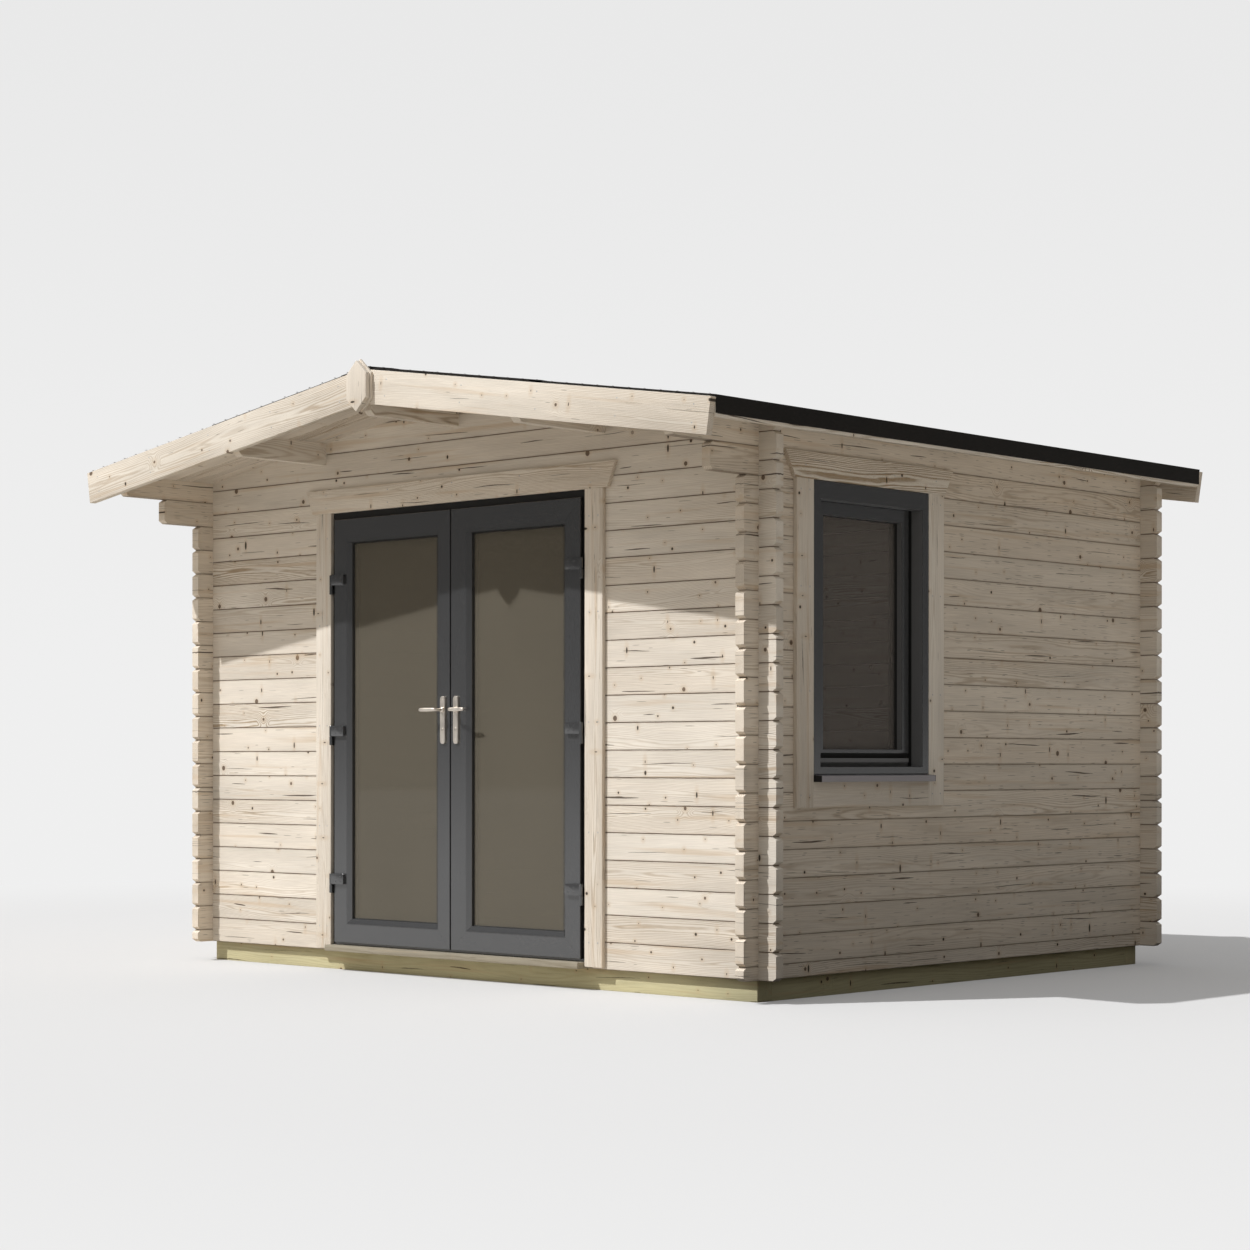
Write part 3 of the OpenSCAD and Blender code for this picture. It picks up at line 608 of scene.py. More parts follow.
class Stock:
    """Lengths of material that end as one mesh. Every corner keeps its place along, across and
    through its own length, for the grain to follow."""

    def __init__(self, place=HERE):
        self.place = place
        self.points, self.faces, self.grain, self.board = [], [], [], []

    def take(self, shape, along, across, middle):
        bmesh.ops.recalc_face_normals(shape, faces=shape.faces)
        start, number = len(self.points), float(draw.randrange(400, 900))
        through = along.cross(across)
        shape.verts.index_update()
        for corner in shape.verts:
            out = corner.co - middle
            self.points.append(self.place @ corner.co)
            self.grain.append((out.dot(along), out.dot(across), out.dot(through)))
            self.board.append(number)
        flip = self.place.determinant() < 0
        for face in shape.faces:
            ring = [start + corner.index for corner in face.verts]
            self.faces.append(ring[::-1] if flip else ring)
        shape.free()

    def plank(self, outline, along, across, start, thick, soft=0.0, steps=2, lengthwise=False):
        """A flat piece: its outline in the two directions from start, and thick the third way.
        If lengthwise, the outline is the section of a length whose grain runs the third way."""
        through = along.cross(across)
        out = through * thick
        shape = bmesh.new()
        base = [shape.verts.new(start + along * a + across * b) for a, b in outline]
        face = [shape.verts.new(corner.co + out) for corner in base]
        shape.faces.new(base[::-1])
        shape.faces.new(face)
        bridge(shape, [base, face])
        middle = sum((corner.co for corner in base), Vector()) / len(base) + out / 2
        if soft:
            bmesh.ops.bevel(
                shape, geom=shape.edges[:], offset=soft, segments=steps, profile=0.6, affect="EDGES",
                clamp_overlap=True,
            )
        if lengthwise:
            self.take(shape, through, along, middle)
        else:
            self.take(shape, along, across, middle)

    def block(self, low, high, along=X, soft=0.0):
        """A square-edged length between two corners, with its grain along an axis."""
        low, high = Vector(low), Vector(high)
        size = high - low
        if along == X:
            outline, across = rectangle(0, 0, size.x, size.z), Z
            low, thick = Vector((low.x, high.y, low.z)), size.y
        elif along == Y:
            outline, across, thick = rectangle(0, 0, size.y, size.z), Z, size.x
        else:
            outline, across, thick = rectangle(0, 0, size.z, size.x), X, size.y
        self.plank(outline, along, across, low, thick, soft)

    def ring(self, box, sections, y):
        """Four mitred profiles round an opening. box holds its left, right, low and high edges, and
        sections the (inset, depth) pairs round the closed profile of each."""
        x0, x1, z0, z1 = box
        left, right, low, head = sections

        def corner(at_left, at_low, k):
            px = x0 + left[k][0] if at_left else x1 - right[k][0]
            pz = z0 + low[k][0] if at_low else z1 - head[k][0]
            return Vector((px, y + left[k][1], pz))

        sides = [
            ((True, True), (False, True), X, Z),
            ((False, True), (False, False), Z, -X),
            ((False, False), (True, False), -X, -Z),
            ((True, False), (True, True), -Z, X),
        ]
        for begin, end, along, inward in sides:
            shape = bmesh.new()
            first = [shape.verts.new(corner(*begin, k) + along * SEAM) for k in range(len(left))]
            last = [shape.verts.new(corner(*end, k) - along * SEAM) for k in range(len(left))]
            bridge(shape, [first, last])
            shape.faces.new(first[::-1])
            shape.faces.new(last)
            middle = (corner(*begin, 0) + corner(*end, 0)) / 2
            self.take(shape, along, inward, middle)

    def strips(self, box, insets, reach, start, end, y=0):
        """Four plain strips round an opening: their insets, how far they reach from those on both
        sides, and the two depths between which they lie."""
        near, far = reach
        self.ring(box, [
            [(inset + near, start), (inset + far, start), (inset + far, end), (inset + near, end)]
            for inset in insets
        ], y)

    def turned(self, profile, foot, axis, steps=24):
        """A round piece: profile is radius and height pairs from foot along the axis."""
        side = axis.orthogonal().normalized()
        other = axis.cross(side)
        shape = bmesh.new()
        rings = []
        for radius, height in profile:
            if not radius:
                rings.append([shape.verts.new(foot + axis * height)])
                continue
            rings.append([
                shape.verts.new(foot + axis * height + (side * math.cos(a) + other * math.sin(a)) * radius)
                for a in (2 * math.pi * i / steps for i in range(steps))
            ])
        bridge(shape, rings)
        for ring in (rings[0], rings[-1]):
            if len(ring) > 1:
                shape.faces.new(ring)
        self.take(shape, axis, side, foot)

    def swept(self, path, sizes, up, steps=28):
        """A bar with an oval section: half height along up, half width the other way."""
        shape = bmesh.new()
        rings = []
        for i, (point, (tall, wide)) in enumerate(zip(path, sizes)):
            ahead = (path[min(i + 1, len(path) - 1)] - path[max(i - 1, 0)]).normalized()
            side = ahead.cross(up).normalized()
            rings.append([
                shape.verts.new(point + up * math.sin(a) * tall + side * math.cos(a) * wide)
                for a in (2 * math.pi * k / steps for k in range(steps))
            ])
        bridge(shape, rings)
        shape.faces.new(rings[0])
        shape.faces.new(rings[-1])
        self.take(shape, (path[-1] - path[-2]).normalized(), up, path[-1])

    def mesh(self, name):
        mesh = bpy.data.meshes.new(name)
        mesh.from_pydata(self.points, [], self.faces)
        keep_vectors(mesh, "grain", self.grain)
        return mesh

    def piece(self, name, finish, body, slot, stands_for=()):
        mesh = self.mesh(name)
        mesh.attributes.new("board", "FLOAT", "POINT").data.foreach_set("value", self.board)
        mesh.materials.append(finish)
        seat(name, mesh, body, stands_for)


def keep_vectors(mesh, name, vectors):
    """Keeps one vector for each corner of a mesh."""
    field = mesh.attributes.new(name, "FLOAT_VECTOR", "POINT")
    field.data.foreach_set("vector", [number for vector in vectors for number in vector])


def seat(name, mesh, body, stands_for=()):
    """Puts a finished mesh on its body."""
    mesh.shade_smooth()
    mesh.set_sharp_from_angle(angle=math.radians(18))
    made = bpy.data.objects.new(name, mesh)
    bpy.context.scene.collection.objects.link(made)
    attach(made, body)
    if stands_for:
        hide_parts(*stands_for)


def rectangle(a0, b0, a1, b1):
    return [(a0, b0), (a1, b0), (a1, b1), (a0, b1)]


def rounded(width, height, radius, steps=5):
    """A rectangle about the middle with round corners."""
    w, h = width / 2 - radius, height / 2 - radius
    corners = [(w, h, 0), (-w, h, 90), (-w, -h, 180), (w, -h, 270)]
    turns = [(x, y, math.radians(a + 90 * i / steps)) for x, y, a in corners for i in range(steps + 1)]
    return [(x + radius * math.cos(a), y + radius * math.sin(a)) for x, y, a in turns]


def inset_box(box, faces):
    """The left, right, low and high edges left inside a frame with faces that wide."""
    left, right, low, head = faces
    return box[0] + left, box[1] - right, box[2] + low, box[3] - head


def drawn_box(name, place):
    """A node's corners as the right-hand drawing has them, if place mirrors that drawing."""
    low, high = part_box(name)
    if place is MIRROR:
        return Vector((-high.x, low.y, low.z)), Vector((-low.x, high.y, high.z))
    return low, high


# ------------------------------------------------------------------ repeated pieces
class Pattern(Tree):
    """A tree that makes a repeated piece from a shape and named inputs."""

    def __init__(self, name, **inputs):
        self.owner = bpy.data.node_groups.new(name, "GeometryNodeTree")
        super().__init__(self.owner)
        inputs = {"Geometry": "Geometry", **inputs}
        for key, kind in inputs.items():
            label = key.replace("_", " ")
            self.owner.interface.new_socket(label, in_out="INPUT", socket_type="NodeSocket" + kind)
        self.owner.interface.new_socket("Geometry", in_out="OUTPUT", socket_type="NodeSocketGeometry")
        entry = self.nodes.new("NodeGroupInput")
        self.given = {key: Value(self, socket) for key, socket in zip(inputs, entry.outputs)}

    def close(self, shape, material):
        real = self.value("GeometryNodeRealizeInstances", {0: shape})
        painted = self.value("GeometryNodeSetMaterial", {"Geometry": real, "Material": material})
        self.node("NodeGroupOutput", {0: painted})
        return self.owner


def board_run_tree():
    """Copies one board side by side, and numbers the boards."""
    tree = Pattern("board_run", Boards="Int", Spacing="Float", Seed="Int", Timber="Material")
    given = tree.given
    spacing = tree.vector(0.0, given["Spacing"])
    line = tree.value("GeometryNodeMeshLine", {"Count": given["Boards"], "Offset": spacing})
    copies = tree.value("GeometryNodeInstanceOnPoints", {"Points": line, "Instance": given["Geometry"]})
    limits = {2: 1000.0, 3: 2000.0, "Seed": given["Seed"]}
    number = tree.value("FunctionNodeRandomValue", limits, 1, data_type="FLOAT")
    numbered = {"Geometry": copies, "Name": "board", "Value": tree.math("FLOOR", number)}
    boards = tree.value("GeometryNodeStoreNamedAttribute", numbered, domain="INSTANCE", data_type="FLOAT")
    return tree.close(boards, given["Timber"])


def fixings_tree():
    """A low round head at each point, turned to face the way the point says."""
    tree = Pattern("fixing_heads", Head_radius="Float", Head_height="Float", Metal="Material")
    given = tree.given
    radius, height = given["Head_radius"], given["Head_height"]
    sizes = {"Vertices": 12, "Radius Bottom": radius, "Radius Top": radius * 0.72, "Depth": height}
    head = tree.value("GeometryNodeMeshCone", sizes, "Mesh")
    facing = tree.value("GeometryNodeInputNamedAttribute", {"Name": "facing"}, data_type="FLOAT_VECTOR")
    turn = tree.value("FunctionNodeAlignRotationToVector", {"Vector": facing}, axis="Z")
    placed = {"Points": given["Geometry"], "Instance": head, "Rotation": turn}
    return tree.close(tree.value("GeometryNodeInstanceOnPoints", placed), given["Metal"])


BOARD_RUN = board_run_tree()
FIXINGS = fixings_tree()


def grown(name, tree, mesh, **values):
    """The plain mesh that a tree makes from a starting mesh."""
    maker = bpy.data.objects.new(name + "_maker", mesh)
    bpy.context.scene.collection.objects.link(maker)
    shape = maker.modifiers.new("shape", "NODES")
    shape.node_group = tree
    for item in tree.interface.items_tree:
        key = item.name.replace(" ", "_").lower()
        if item.in_out == "INPUT" and key in values:
            shape[item.identifier] = values[key]
    ready = maker.evaluated_get(bpy.context.evaluated_depsgraph_get())
    made = bpy.data.meshes.new_from_object(ready)
    made.name = name
    maker.modifiers.clear()
    bpy.data.objects.remove(maker)
    return made


def board_run(name, blank, count, spacing, seed, place, stands_for):
    """blank is a Stock with one board in it, at the low-Y end of the run."""
    mesh = blank.mesh(name + "_blank")
    made = grown(name, BOARD_RUN, mesh, boards=count, spacing=spacing, seed=seed, timber=DECKING)
    made.transform(place)
    if place.determinant() < 0:
        made.flip_normals()
    seat(name, made, "cabin", [stands_for])


def fixings(name, points, radius, height, body, finish=ZINC):
    """Screw or nail heads at (place, facing) pairs."""
    mesh = bpy.data.meshes.new(name + "_points")
    mesh.from_pydata([place for place, _ in points], [], [])
    keep_vectors(mesh, "facing", [facing for _, facing in points])
    made = grown(name, FIXINGS, mesh, head_radius=radius, head_height=height, metal=finish)
    seat(name, made, body)


def matched_board(width, thick, groove, joint, grooves_up):
    """Section of a board with bevels along one face, set back at both joints."""
    outline = [
        (joint, 0), (width - joint, 0), (width - joint, thick - groove), (width - groove, thick),
        (groove, thick), (joint, thick - groove),
    ]
    return outline if grooves_up else [(a, thick - b) for a, b in outline]


# ------------------------------------------------------------------ base and floor
def make_base():
    low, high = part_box("base_frame")
    wide, joist = 0.090, 0.045
    beams = Stock()
    for y in (low.y, high.y - wide):
        beams.block((low.x, y, low.z), (high.x, y + wide, high.z), X, 0.003)
    for x in (low.x, high.x - wide):
        beams.block((x, low.y + wide, low.z), (x + wide, high.y - wide, high.z), Y, 0.003)
    for i in range(-2, 3):
        x = i * (high.x - wide) / 3
        beams.block((x - joist / 2, low.y + wide, low.z), (x + joist / 2, high.y - wide, high.z), Y, 0.002)
    beams.piece("base_beams", TREATED, "cabin", "treated_timber", ["base_frame"])


def make_floor():
    """The first board is cut round the door frame, and the others run from wall to wall."""
    low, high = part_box("floor_boards")
    frame_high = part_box("door_frame")[1]
    count, groove, joint = 24, 0.0035, 0.0004
    width = (high.y - low.y) / count
    thick = high.z - low.z
    blank = Stock()
    section = matched_board(width, thick, groove, joint, True)
    blank.plank(section, Y, Z, Vector((low.x, low.y + width, low.z)), high.x - low.x, lengthwise=True)
    board_run("floor_planks", blank, count - 1, width, 11, HERE, "floor_boards")
    first = Stock()
    notch, back = frame_high.x + 0.002, frame_high.y + 0.004 - low.y
    outline = [
        (low.x, 0), (-notch, 0), (-notch, back), (notch, back), (notch, 0), (high.x, 0), (high.x, width),
        (low.x, width),
    ]
    first.plank(outline, X, Y, Vector((0, low.y, low.z)), thick, 0.001)
    first.piece("floor_plank_at_door", DECKING, "cabin", "spruce")


# ------------------------------------------------------------------ roof
SHEET = 0.0024  # one sheet of felt
# levels of the lower strip, the upper strip and the ridge cap over the model's own felt
LOWER_STRIP, UPPER_STRIP, RIDGE_CAP = -0.0002, 0.0022, 0.0046
LAP_START, LAP_END = 0.985, 1.060  # metres down the slope between which the strips lap
CAP_END = 0.165


def make_deck(name, place, seed, stands_for):
    """Matchboards from the ridge to the eaves, with the open joints underneath."""
    count, groove, joint = 36, 0.0045, 0.0003
    width = (ROOF_REAR - ROOF_FRONT) / count
    blank = Stock()
    section = matched_board(width, DECK, groove, joint, False)
    blank.plank(section, Y, Z, Vector((0, ROOF_FRONT, 0)), DECK_EDGE / SLOPE_RUN, lengthwise=True)
    slope = Matrix.Translation((0, 0, RIDGE_TOP - ROOF_BUILD)) @ Matrix.Rotation(PITCH, 4, "Y")
    board_run(name, blank, count, width, seed, place @ slope, stands_for)


def make_felt(name, place, stands_for):
    """Build-up, two lapped strips of felt, the flap over the eaves board and half the ridge cap."""
    felt = Stock(place)
    front, rear = ROOF_FRONT - VERGE * 0.2, ROOF_REAR + VERGE * 0.2
    inner = EDGE - FELT
    under = RIDGE_TOP - ROOF_BUILD + DECK / SLOPE_RUN
    skin = FELT / SLOPE_RUN
    core = [
        (0, under), (DECK_EDGE, under - DECK_EDGE * SLOPE_FALL), (DECK_EDGE, felt_top(inner) - skin),
        (inner, felt_top(inner) - skin), (0, RIDGE_TOP - skin),
    ]
    felt.plank(core, X, Z, Vector((0, ROOF_REAR, 0)), ROOF_REAR - ROOF_FRONT)
    flap_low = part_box("roof_cover_right")[0].z
    felt.block((inner, ROOF_FRONT, flap_low), (EDGE, ROOF_REAR, felt_top(EDGE) - skin * 0.5), Y, 0.0012)
    down, up = roof_ways(1)

    def strip(near, far, level, thick):
        start = Vector((0, front, RIDGE_TOP)) + down * far + up * (level - thick)
        felt.plank(rectangle(0, 0, rear - front, far - near), Y, -down, start, thick, 0.0009)

    strip(LAP_START, SLOPE_LENGTH - 0.0006, LOWER_STRIP, FELT + VERGE_DROP)
    strip(0.0, LAP_END, LOWER_STRIP, FELT + VERGE_DROP)
    strip(0.060, LAP_END - 0.002, UPPER_STRIP, SHEET)
    strip(0.0, CAP_END, RIDGE_CAP, SHEET)
    felt.piece(name, FELT_FINISH, "cabin", "roof_felt", [stands_for])


def felt_level(far):
    """Level of the felt that lies on top, that far down the slope."""
    if far < CAP_END:
        return RIDGE_CAP
    return UPPER_STRIP if far < LAP_END - 0.010 else LOWER_STRIP


def clout_nails():
    """Nails along the laps, the ridge cap and the gable edges of the felt."""
    points = []
    lap_row, cap_row, end_margin, edge_margin = LAP_END - 0.025, CAP_END - 0.025, 0.01, 0.012
    for side in (1, -1):
        down, up = roof_ways(side)

        def nail(far, y, level):
            points.append((Vector((0, y, RIDGE_TOP)) + down * far + up * level, up))

        count = int((ROOF_REAR - ROOF_FRONT) / 0.075)
        for i in range(count + 1):
            y = ROOF_FRONT + end_margin + i * (ROOF_REAR - ROOF_FRONT - 2 * end_margin) / count
            jitter = draw.uniform(-0.004, 0.004)
            nail(lap_row + jitter, y, UPPER_STRIP)
            nail(cap_row + jitter, y, RIDGE_CAP)
        count = int(SLOPE_LENGTH / 0.085)
        for i in range(count + 1):
            far = 0.03 + i * (SLOPE_LENGTH - 0.05) / count
            for y in (ROOF_FRONT - edge_margin, ROOF_REAR + edge_margin):
                nail(far, y + draw.uniform(-0.002, 0.002), felt_level(far))
    fixings("clout_nails", points, 0.0045, 0.0012, "cabin")


def make_eaves():
    """Each eaves board is in two lengths."""
    low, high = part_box("eaves_boards")
    thick = high.x - DECK_EDGE
    joint = low.y + (high.y - low.y) * 0.62
    boards = Stock()
    for x in (DECK_EDGE, -high.x):
        boards.block((x, low.y, low.z), (x + thick, joint, high.z), Y, 0.0015)
        boards.block((x, joint + 0.0006, low.z), (x + thick, high.y, high.z), Y, 0.0015)
    boards.piece("eaves_fascia", BOARDS, "cabin", "spruce", ["eaves_boards"])


def make_verges(name, y0, stands_for, facing):
    """The wide boards along the gable edges, plumb at the ridge and square at the eaves.
    Returns their screws."""
    boards = Stock()
    width, ridge_gap = 0.145, 0.0005
    length = (EDGE - ridge_gap) / SLOPE_RUN
    outline = [(0, 0), (length, 0), (length, width), (-width * SLOPE_FALL, width)]
    face = y0 if facing < 0 else y0 + VERGE
    screws = []
    for side in (1, -1):
        down, up = roof_ways(side)
        top = Vector((ridge_gap * side, y0, felt_top(ridge_gap) - (FELT + VERGE_DROP) / SLOPE_RUN))
        boards.plank(outline, down, -up, top if side > 0 else top + Y * VERGE, VERGE, 0.0025)
        for far in (0.16, 0.62, 1.06, 1.50, 1.90):
            for across in (0.035, 0.105):
                spot = top + down * far - up * across
                spot.y = face
                screws.append((spot, Y * facing))
    boards.piece(name, FACINGS, "cabin", "spruce", [stands_for])
    return screws


def diamond(wide, tall, inset):
    """Outline of a finial, its heights first: pointed above and below, with its sides cut plumb."""
    side, point, shoulder = wide - inset, inset * 1.15, 0.27 * tall + inset * 0.35
    return [
        (point, 0), (shoulder, side), (tall - shoulder, side),
        (tall - point, 0), (tall - shoulder, -side), (shoulder, -side),
    ]


def make_finials():
    """A raised plate on a wider back plate, at both gables."""
    low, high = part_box("finials")
    thick, raised, joint = 0.035, 0.022, 0.0005
    plates = Stock()

    def plate(inset, y, depth, soft):
        outline = diamond(high.x, high.z - low.z, inset)
        plates.plank(outline, Z, X, Vector((0, y, low.z)), depth, soft, 3)

    backing = thick - raised - joint
    plate(0.0065, low.y, raised, 0.005)
    plate(0.0, low.y + raised + joint, backing, 0.0022)
    plate(0.0065, high.y - raised, raised, 0.005)
    plate(0.0, high.y - thick, backing, 0.0022)
    plates.piece("finial_plates", BOARDS, "cabin", "spruce", ["finials"])


# ------------------------------------------------------------------ trims
HEAD_TALL = 0.109
WINDOW_LOW, WINDOW_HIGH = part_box("window_frame")
WINDOW_MIDDLE = (WINDOW_LOW.y + WINDOW_HIGH.y) / 2
WINDOW_PLACE = Matrix.Translation((WALL_SIDE, WINDOW_MIDDLE, 0)) @ Matrix.Rotation(math.pi / 2, 4, "Z")


def head_board(node, name, low_half, top_half, place):
    """The board over an opening, wider at its top."""
    low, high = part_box(node)
    board = Stock(place)
    outline = [(-low_half, low.z), (low_half, low.z), (top_half, high.z), (-top_half, high.z)]
    board.plank(outline, X, Z, Vector((0, 0, 0)), TRIM, 0.002)
    board.piece(name, FACINGS, "cabin", "spruce", [node])


def make_door_trims():
    """The boards beside and over the doors. Returns their screws."""
    low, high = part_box("door_trims")
    inner = 0.806
    screws = []
    door = Stock()
    for x in (low.x, inner):
        door.block((x, low.y, low.z), (x + high.x - inner, high.y, high.z), Z, 0.002)
        for z in (0.20, 0.66, 1.12, 1.58, 1.98):
            screws += [(Vector((x + across, low.y, z)), -Y) for across in (0.025, 0.077)]
    door.piece("door_side_trims", BOARDS, "cabin", "spruce", ["door_trims"])
    head_board("door_head_board", "door_head", high.x + 0.24 * HEAD_TALL, high.x + 0.66 * HEAD_TALL,
               Matrix.Translation((0, WALL_FRONT, 0)))
    for i in range(-2, 3):
        screws += [(Vector((i * 0.42, WALL_FRONT - TRIM, BASE + level)), -Y) for level in (2.030, 2.088)]
    return screws


def make_window_trims():
    """The boards beside, over and under the window. Returns their screws."""
    low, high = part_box("window_trims")
    half, wide = 0.3885, 0.108
    spots = []
    upright = Stock(WINDOW_PLACE)
    for x in (-half - wide, half):
        upright.block((x, -TRIM, low.z), (x + wide, 0, high.z), Z, 0.002)
        spots += [(x + across, z) for z in (0.82, 1.24, 1.66, 2.05) for across in (0.026, 0.082)]
    upright.piece("window_side_trims", BOARDS, "cabin", "spruce", ["window_trims"])
    outer = half + wide
    head_board("window_head_board", "window_head", outer + 0.008, outer + 0.64 * HEAD_TALL, WINDOW_PLACE)
    spots += [(x, BASE + 2.059) for x in (-0.44, -0.15, 0.15, 0.44)]
    low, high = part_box("window_apron")
    apron = Stock(WINDOW_PLACE)
    apron.block((0.0004 - half, -TRIM, low.z), (half - 0.0004, 0, high.z), X, 0.002)
    apron.piece("window_apron_board", BOARDS, "cabin", "spruce", ["window_apron"])
    return [(WINDOW_PLACE @ Vector((x, -TRIM, z)), X) for x, z in spots]


# ------------------------------------------------------------------ doorway
DOOR_FACES = (0.060, 0.060, 0.020, 0.060)


def make_threshold():
    low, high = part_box("threshold")
    nose_half = 0.803
    step = Stock()
    step.block((-nose_half, low.y, low.z), (nose_half, WALL_FRONT + 0.001, high.z), X, 0.003)
    step.block((low.x, WALL_FRONT + 0.0014, low.z), (high.x, high.y, high.z), X, 0.001)
    step.piece("threshold_plank", OAK, "cabin", "threshold_wood", ["threshold"])


def make_door_frame():
    """The frame has two grooves round it, with a seal in each."""
    low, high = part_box("door_frame")
    box = (low.x, high.x, low.z, high.z)
    deep = high.y - low.y
    grooves, groove_wide, sunk = (0.014, 0.032), 0.004, 0.0022
    sections = []
    for face in DOOR_FACES:
        section = [(0, deep), (0, 0.001), (0.001, 0)]
        section += [(face - 0.0022, 0), (face - 0.0006, 0.0006), (face, 0.0022)]
        for start in grooves:
            end = start + groove_wide
            section += [(face, start), (face - sunk, start), (face - sunk, end), (face, end)]
        sections.append(section + [(face, deep)])
    profiles = Stock()
    profiles.ring(box, sections, low.y)
    profiles.piece("door_frame_profiles", ANTHRACITE, "cabin", "anthracite", ["door_frame"])

    seal_and_shade = Stock()
    for start in grooves:
        near, far = start + 0.0005, start + 0.0035
        seal_and_shade.ring(box, [[
            (face - 0.0024, near), (face - 0.0006, near + 0.0006),
            (face - 0.0006, far - 0.0006), (face - 0.0024, far),
        ] for face in DOOR_FACES], low.y)
    # black strips between the leaves and the trims, as painted shade in the gap
    leaf_low, leaf_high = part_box("right_door_leaf")
    near, far = low.y - 0.0008, low.y + 0.0004
    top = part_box("door_head_board")[0].z - 0.0003
    for x in (-0.8057, leaf_high.x + 0.0003):
        seal_and_shade.block((x, near, leaf_low.z), (x + 0.8054 - leaf_high.x, far, top), Z)
    seal_and_shade.block((-leaf_high.x, near, leaf_high.z + 0.0003), (leaf_high.x, far, top), X)
    seal_and_shade.piece("door_frame_seals", RUBBER_AND_PAINTED_SHADE, "cabin", "anthracite")


TUCK = 0.012  # how far the panes reach under the beads
BEAD = 0.022
LIP = 0.014
PANE = 0.004
CORES = (0.008, 0.015, 0.015, 0.015)  # insets of the leaf's back from its edges


def make_leaf(side, place):
    """One door leaf, drawn as the right-hand one."""
    low, high = drawn_box(side + "_door_leaf", place)
    pane_low, pane_high = drawn_box(side + "_door_glass", place)
    body = side + "_leaf"
    box = (low.x, high.x, low.z, high.z)
    daylight = [
        pane_low.x + TUCK - low.x, high.x - pane_high.x + TUCK,
        pane_low.z + TUCK - low.z, high.z - pane_high.z + TUCK,
    ]
    glass, back, deep = pane_low.y - low.y, pane_high.y - low.y, high.y - low.y

    def section(number):
        """A flat face, a shadow line, a bead that slopes back to the glass, and the back."""
        inner, core = daylight[number], CORES[number]
        face = inner - BEAD
        line, bead = face - 0.0030, face + 0.0006
        if number == HEAD:
            # crisp edges, which catch no light from below
            line, bead = face - 0.0017, inner - 0.0022
        return [
            (0, LIP), (0, 0.0024), (0.0007, 0.0007), (0.0024, 0), (line, 0), (face - 0.0016, 0.0011),
            (face - 0.0006, 0.0011), (bead, 0.0002), (inner - 0.0012, 0.0118), (inner, 0.0130),
            (inner, glass), (inner, deep - 0.0024), (inner - 0.0007, deep - 0.0007), (inner - 0.0024, deep),
            (core + 0.0024, deep), (core + 0.0007, deep - 0.0007), (core, deep - 0.0024), (core, LIP),
        ]

    leaf = Stock(place)
    leaf.ring(box, [section(number) for number in range(4)], low.y)
    leaf.piece(side + "_leaf_profiles", ANTHRACITE, body, "anthracite", [side + "_door_leaf"])

    seal_and_shade = Stock(place)
    for at, out in ((glass, -1), (back, 1)):
        seal_and_shade.ring(box, [[
            (inner - 0.001, at + out * 0.0042), (inner + 0.0032, at + out * 0.0012),
            (inner + 0.0038, at), (inner - 0.001, at),
        ] for inner in daylight], low.y)
    # painted shade: a black strip under the head bead, and one round the leaf's edge
    under = high.z - daylight[HEAD]
    seal_and_shade.block((low.x + daylight[0], low.y + 0.0008, under - 0.0002),
               (high.x - daylight[1], low.y + 0.0130, under + 0.0016), X)
    seal_and_shade.strips(box, [0] * 4, (-0.00025, 0.0006), 0.0032, LIP - 0.0005, low.y)
    seal_and_shade.piece(side + "_leaf_gaskets", RUBBER_AND_PAINTED_SHADE, body, "anthracite")

    spacer = Stock(place)
    spacer.strips(box, daylight, (-0.008, 0.0012), glass + 0.0045, back - 0.0045, low.y)
    spacer.piece(side + "_leaf_spacer", ZINC, body, "satin_steel")

    panes = Stock(place)
    for y in (pane_low.y, pane_high.y - PANE):
        panes.block((pane_low.x, y, pane_low.z), (pane_high.x, y + PANE, pane_high.z), Z)
    panes.piece(side + "_leaf_panes", DOOR_GLASS, body, "door_glass", [side + "_door_glass"])


# ------------------------------------------------------------------ hinges and handles
HINGE_X, HINGE_Y = 0.794, LEAF_FACE - 0.008
HINGE_TOPS = (1.720, 1.030, 0.353)
HINGE_TALL, HINGE_WIDE = 0.090, 0.090
BARREL = 0.008
PIN, PIN_HOLE = 0.0040, 0.0042
KNUCKLE = 0.45 * HINGE_TALL


def knuckle(high):
    """Radius and height pairs of a barrel that is open at the foot and domed at the top."""
    return [
        (PIN_HOLE, 0), (BARREL - 0.0008, 0), (BARREL, 0.0008), (BARREL, high - 0.003),
        (BARREL - 0.0012, high - 0.0008), (BARREL - 0.003, high), (0, high + 0.0004),
    ]


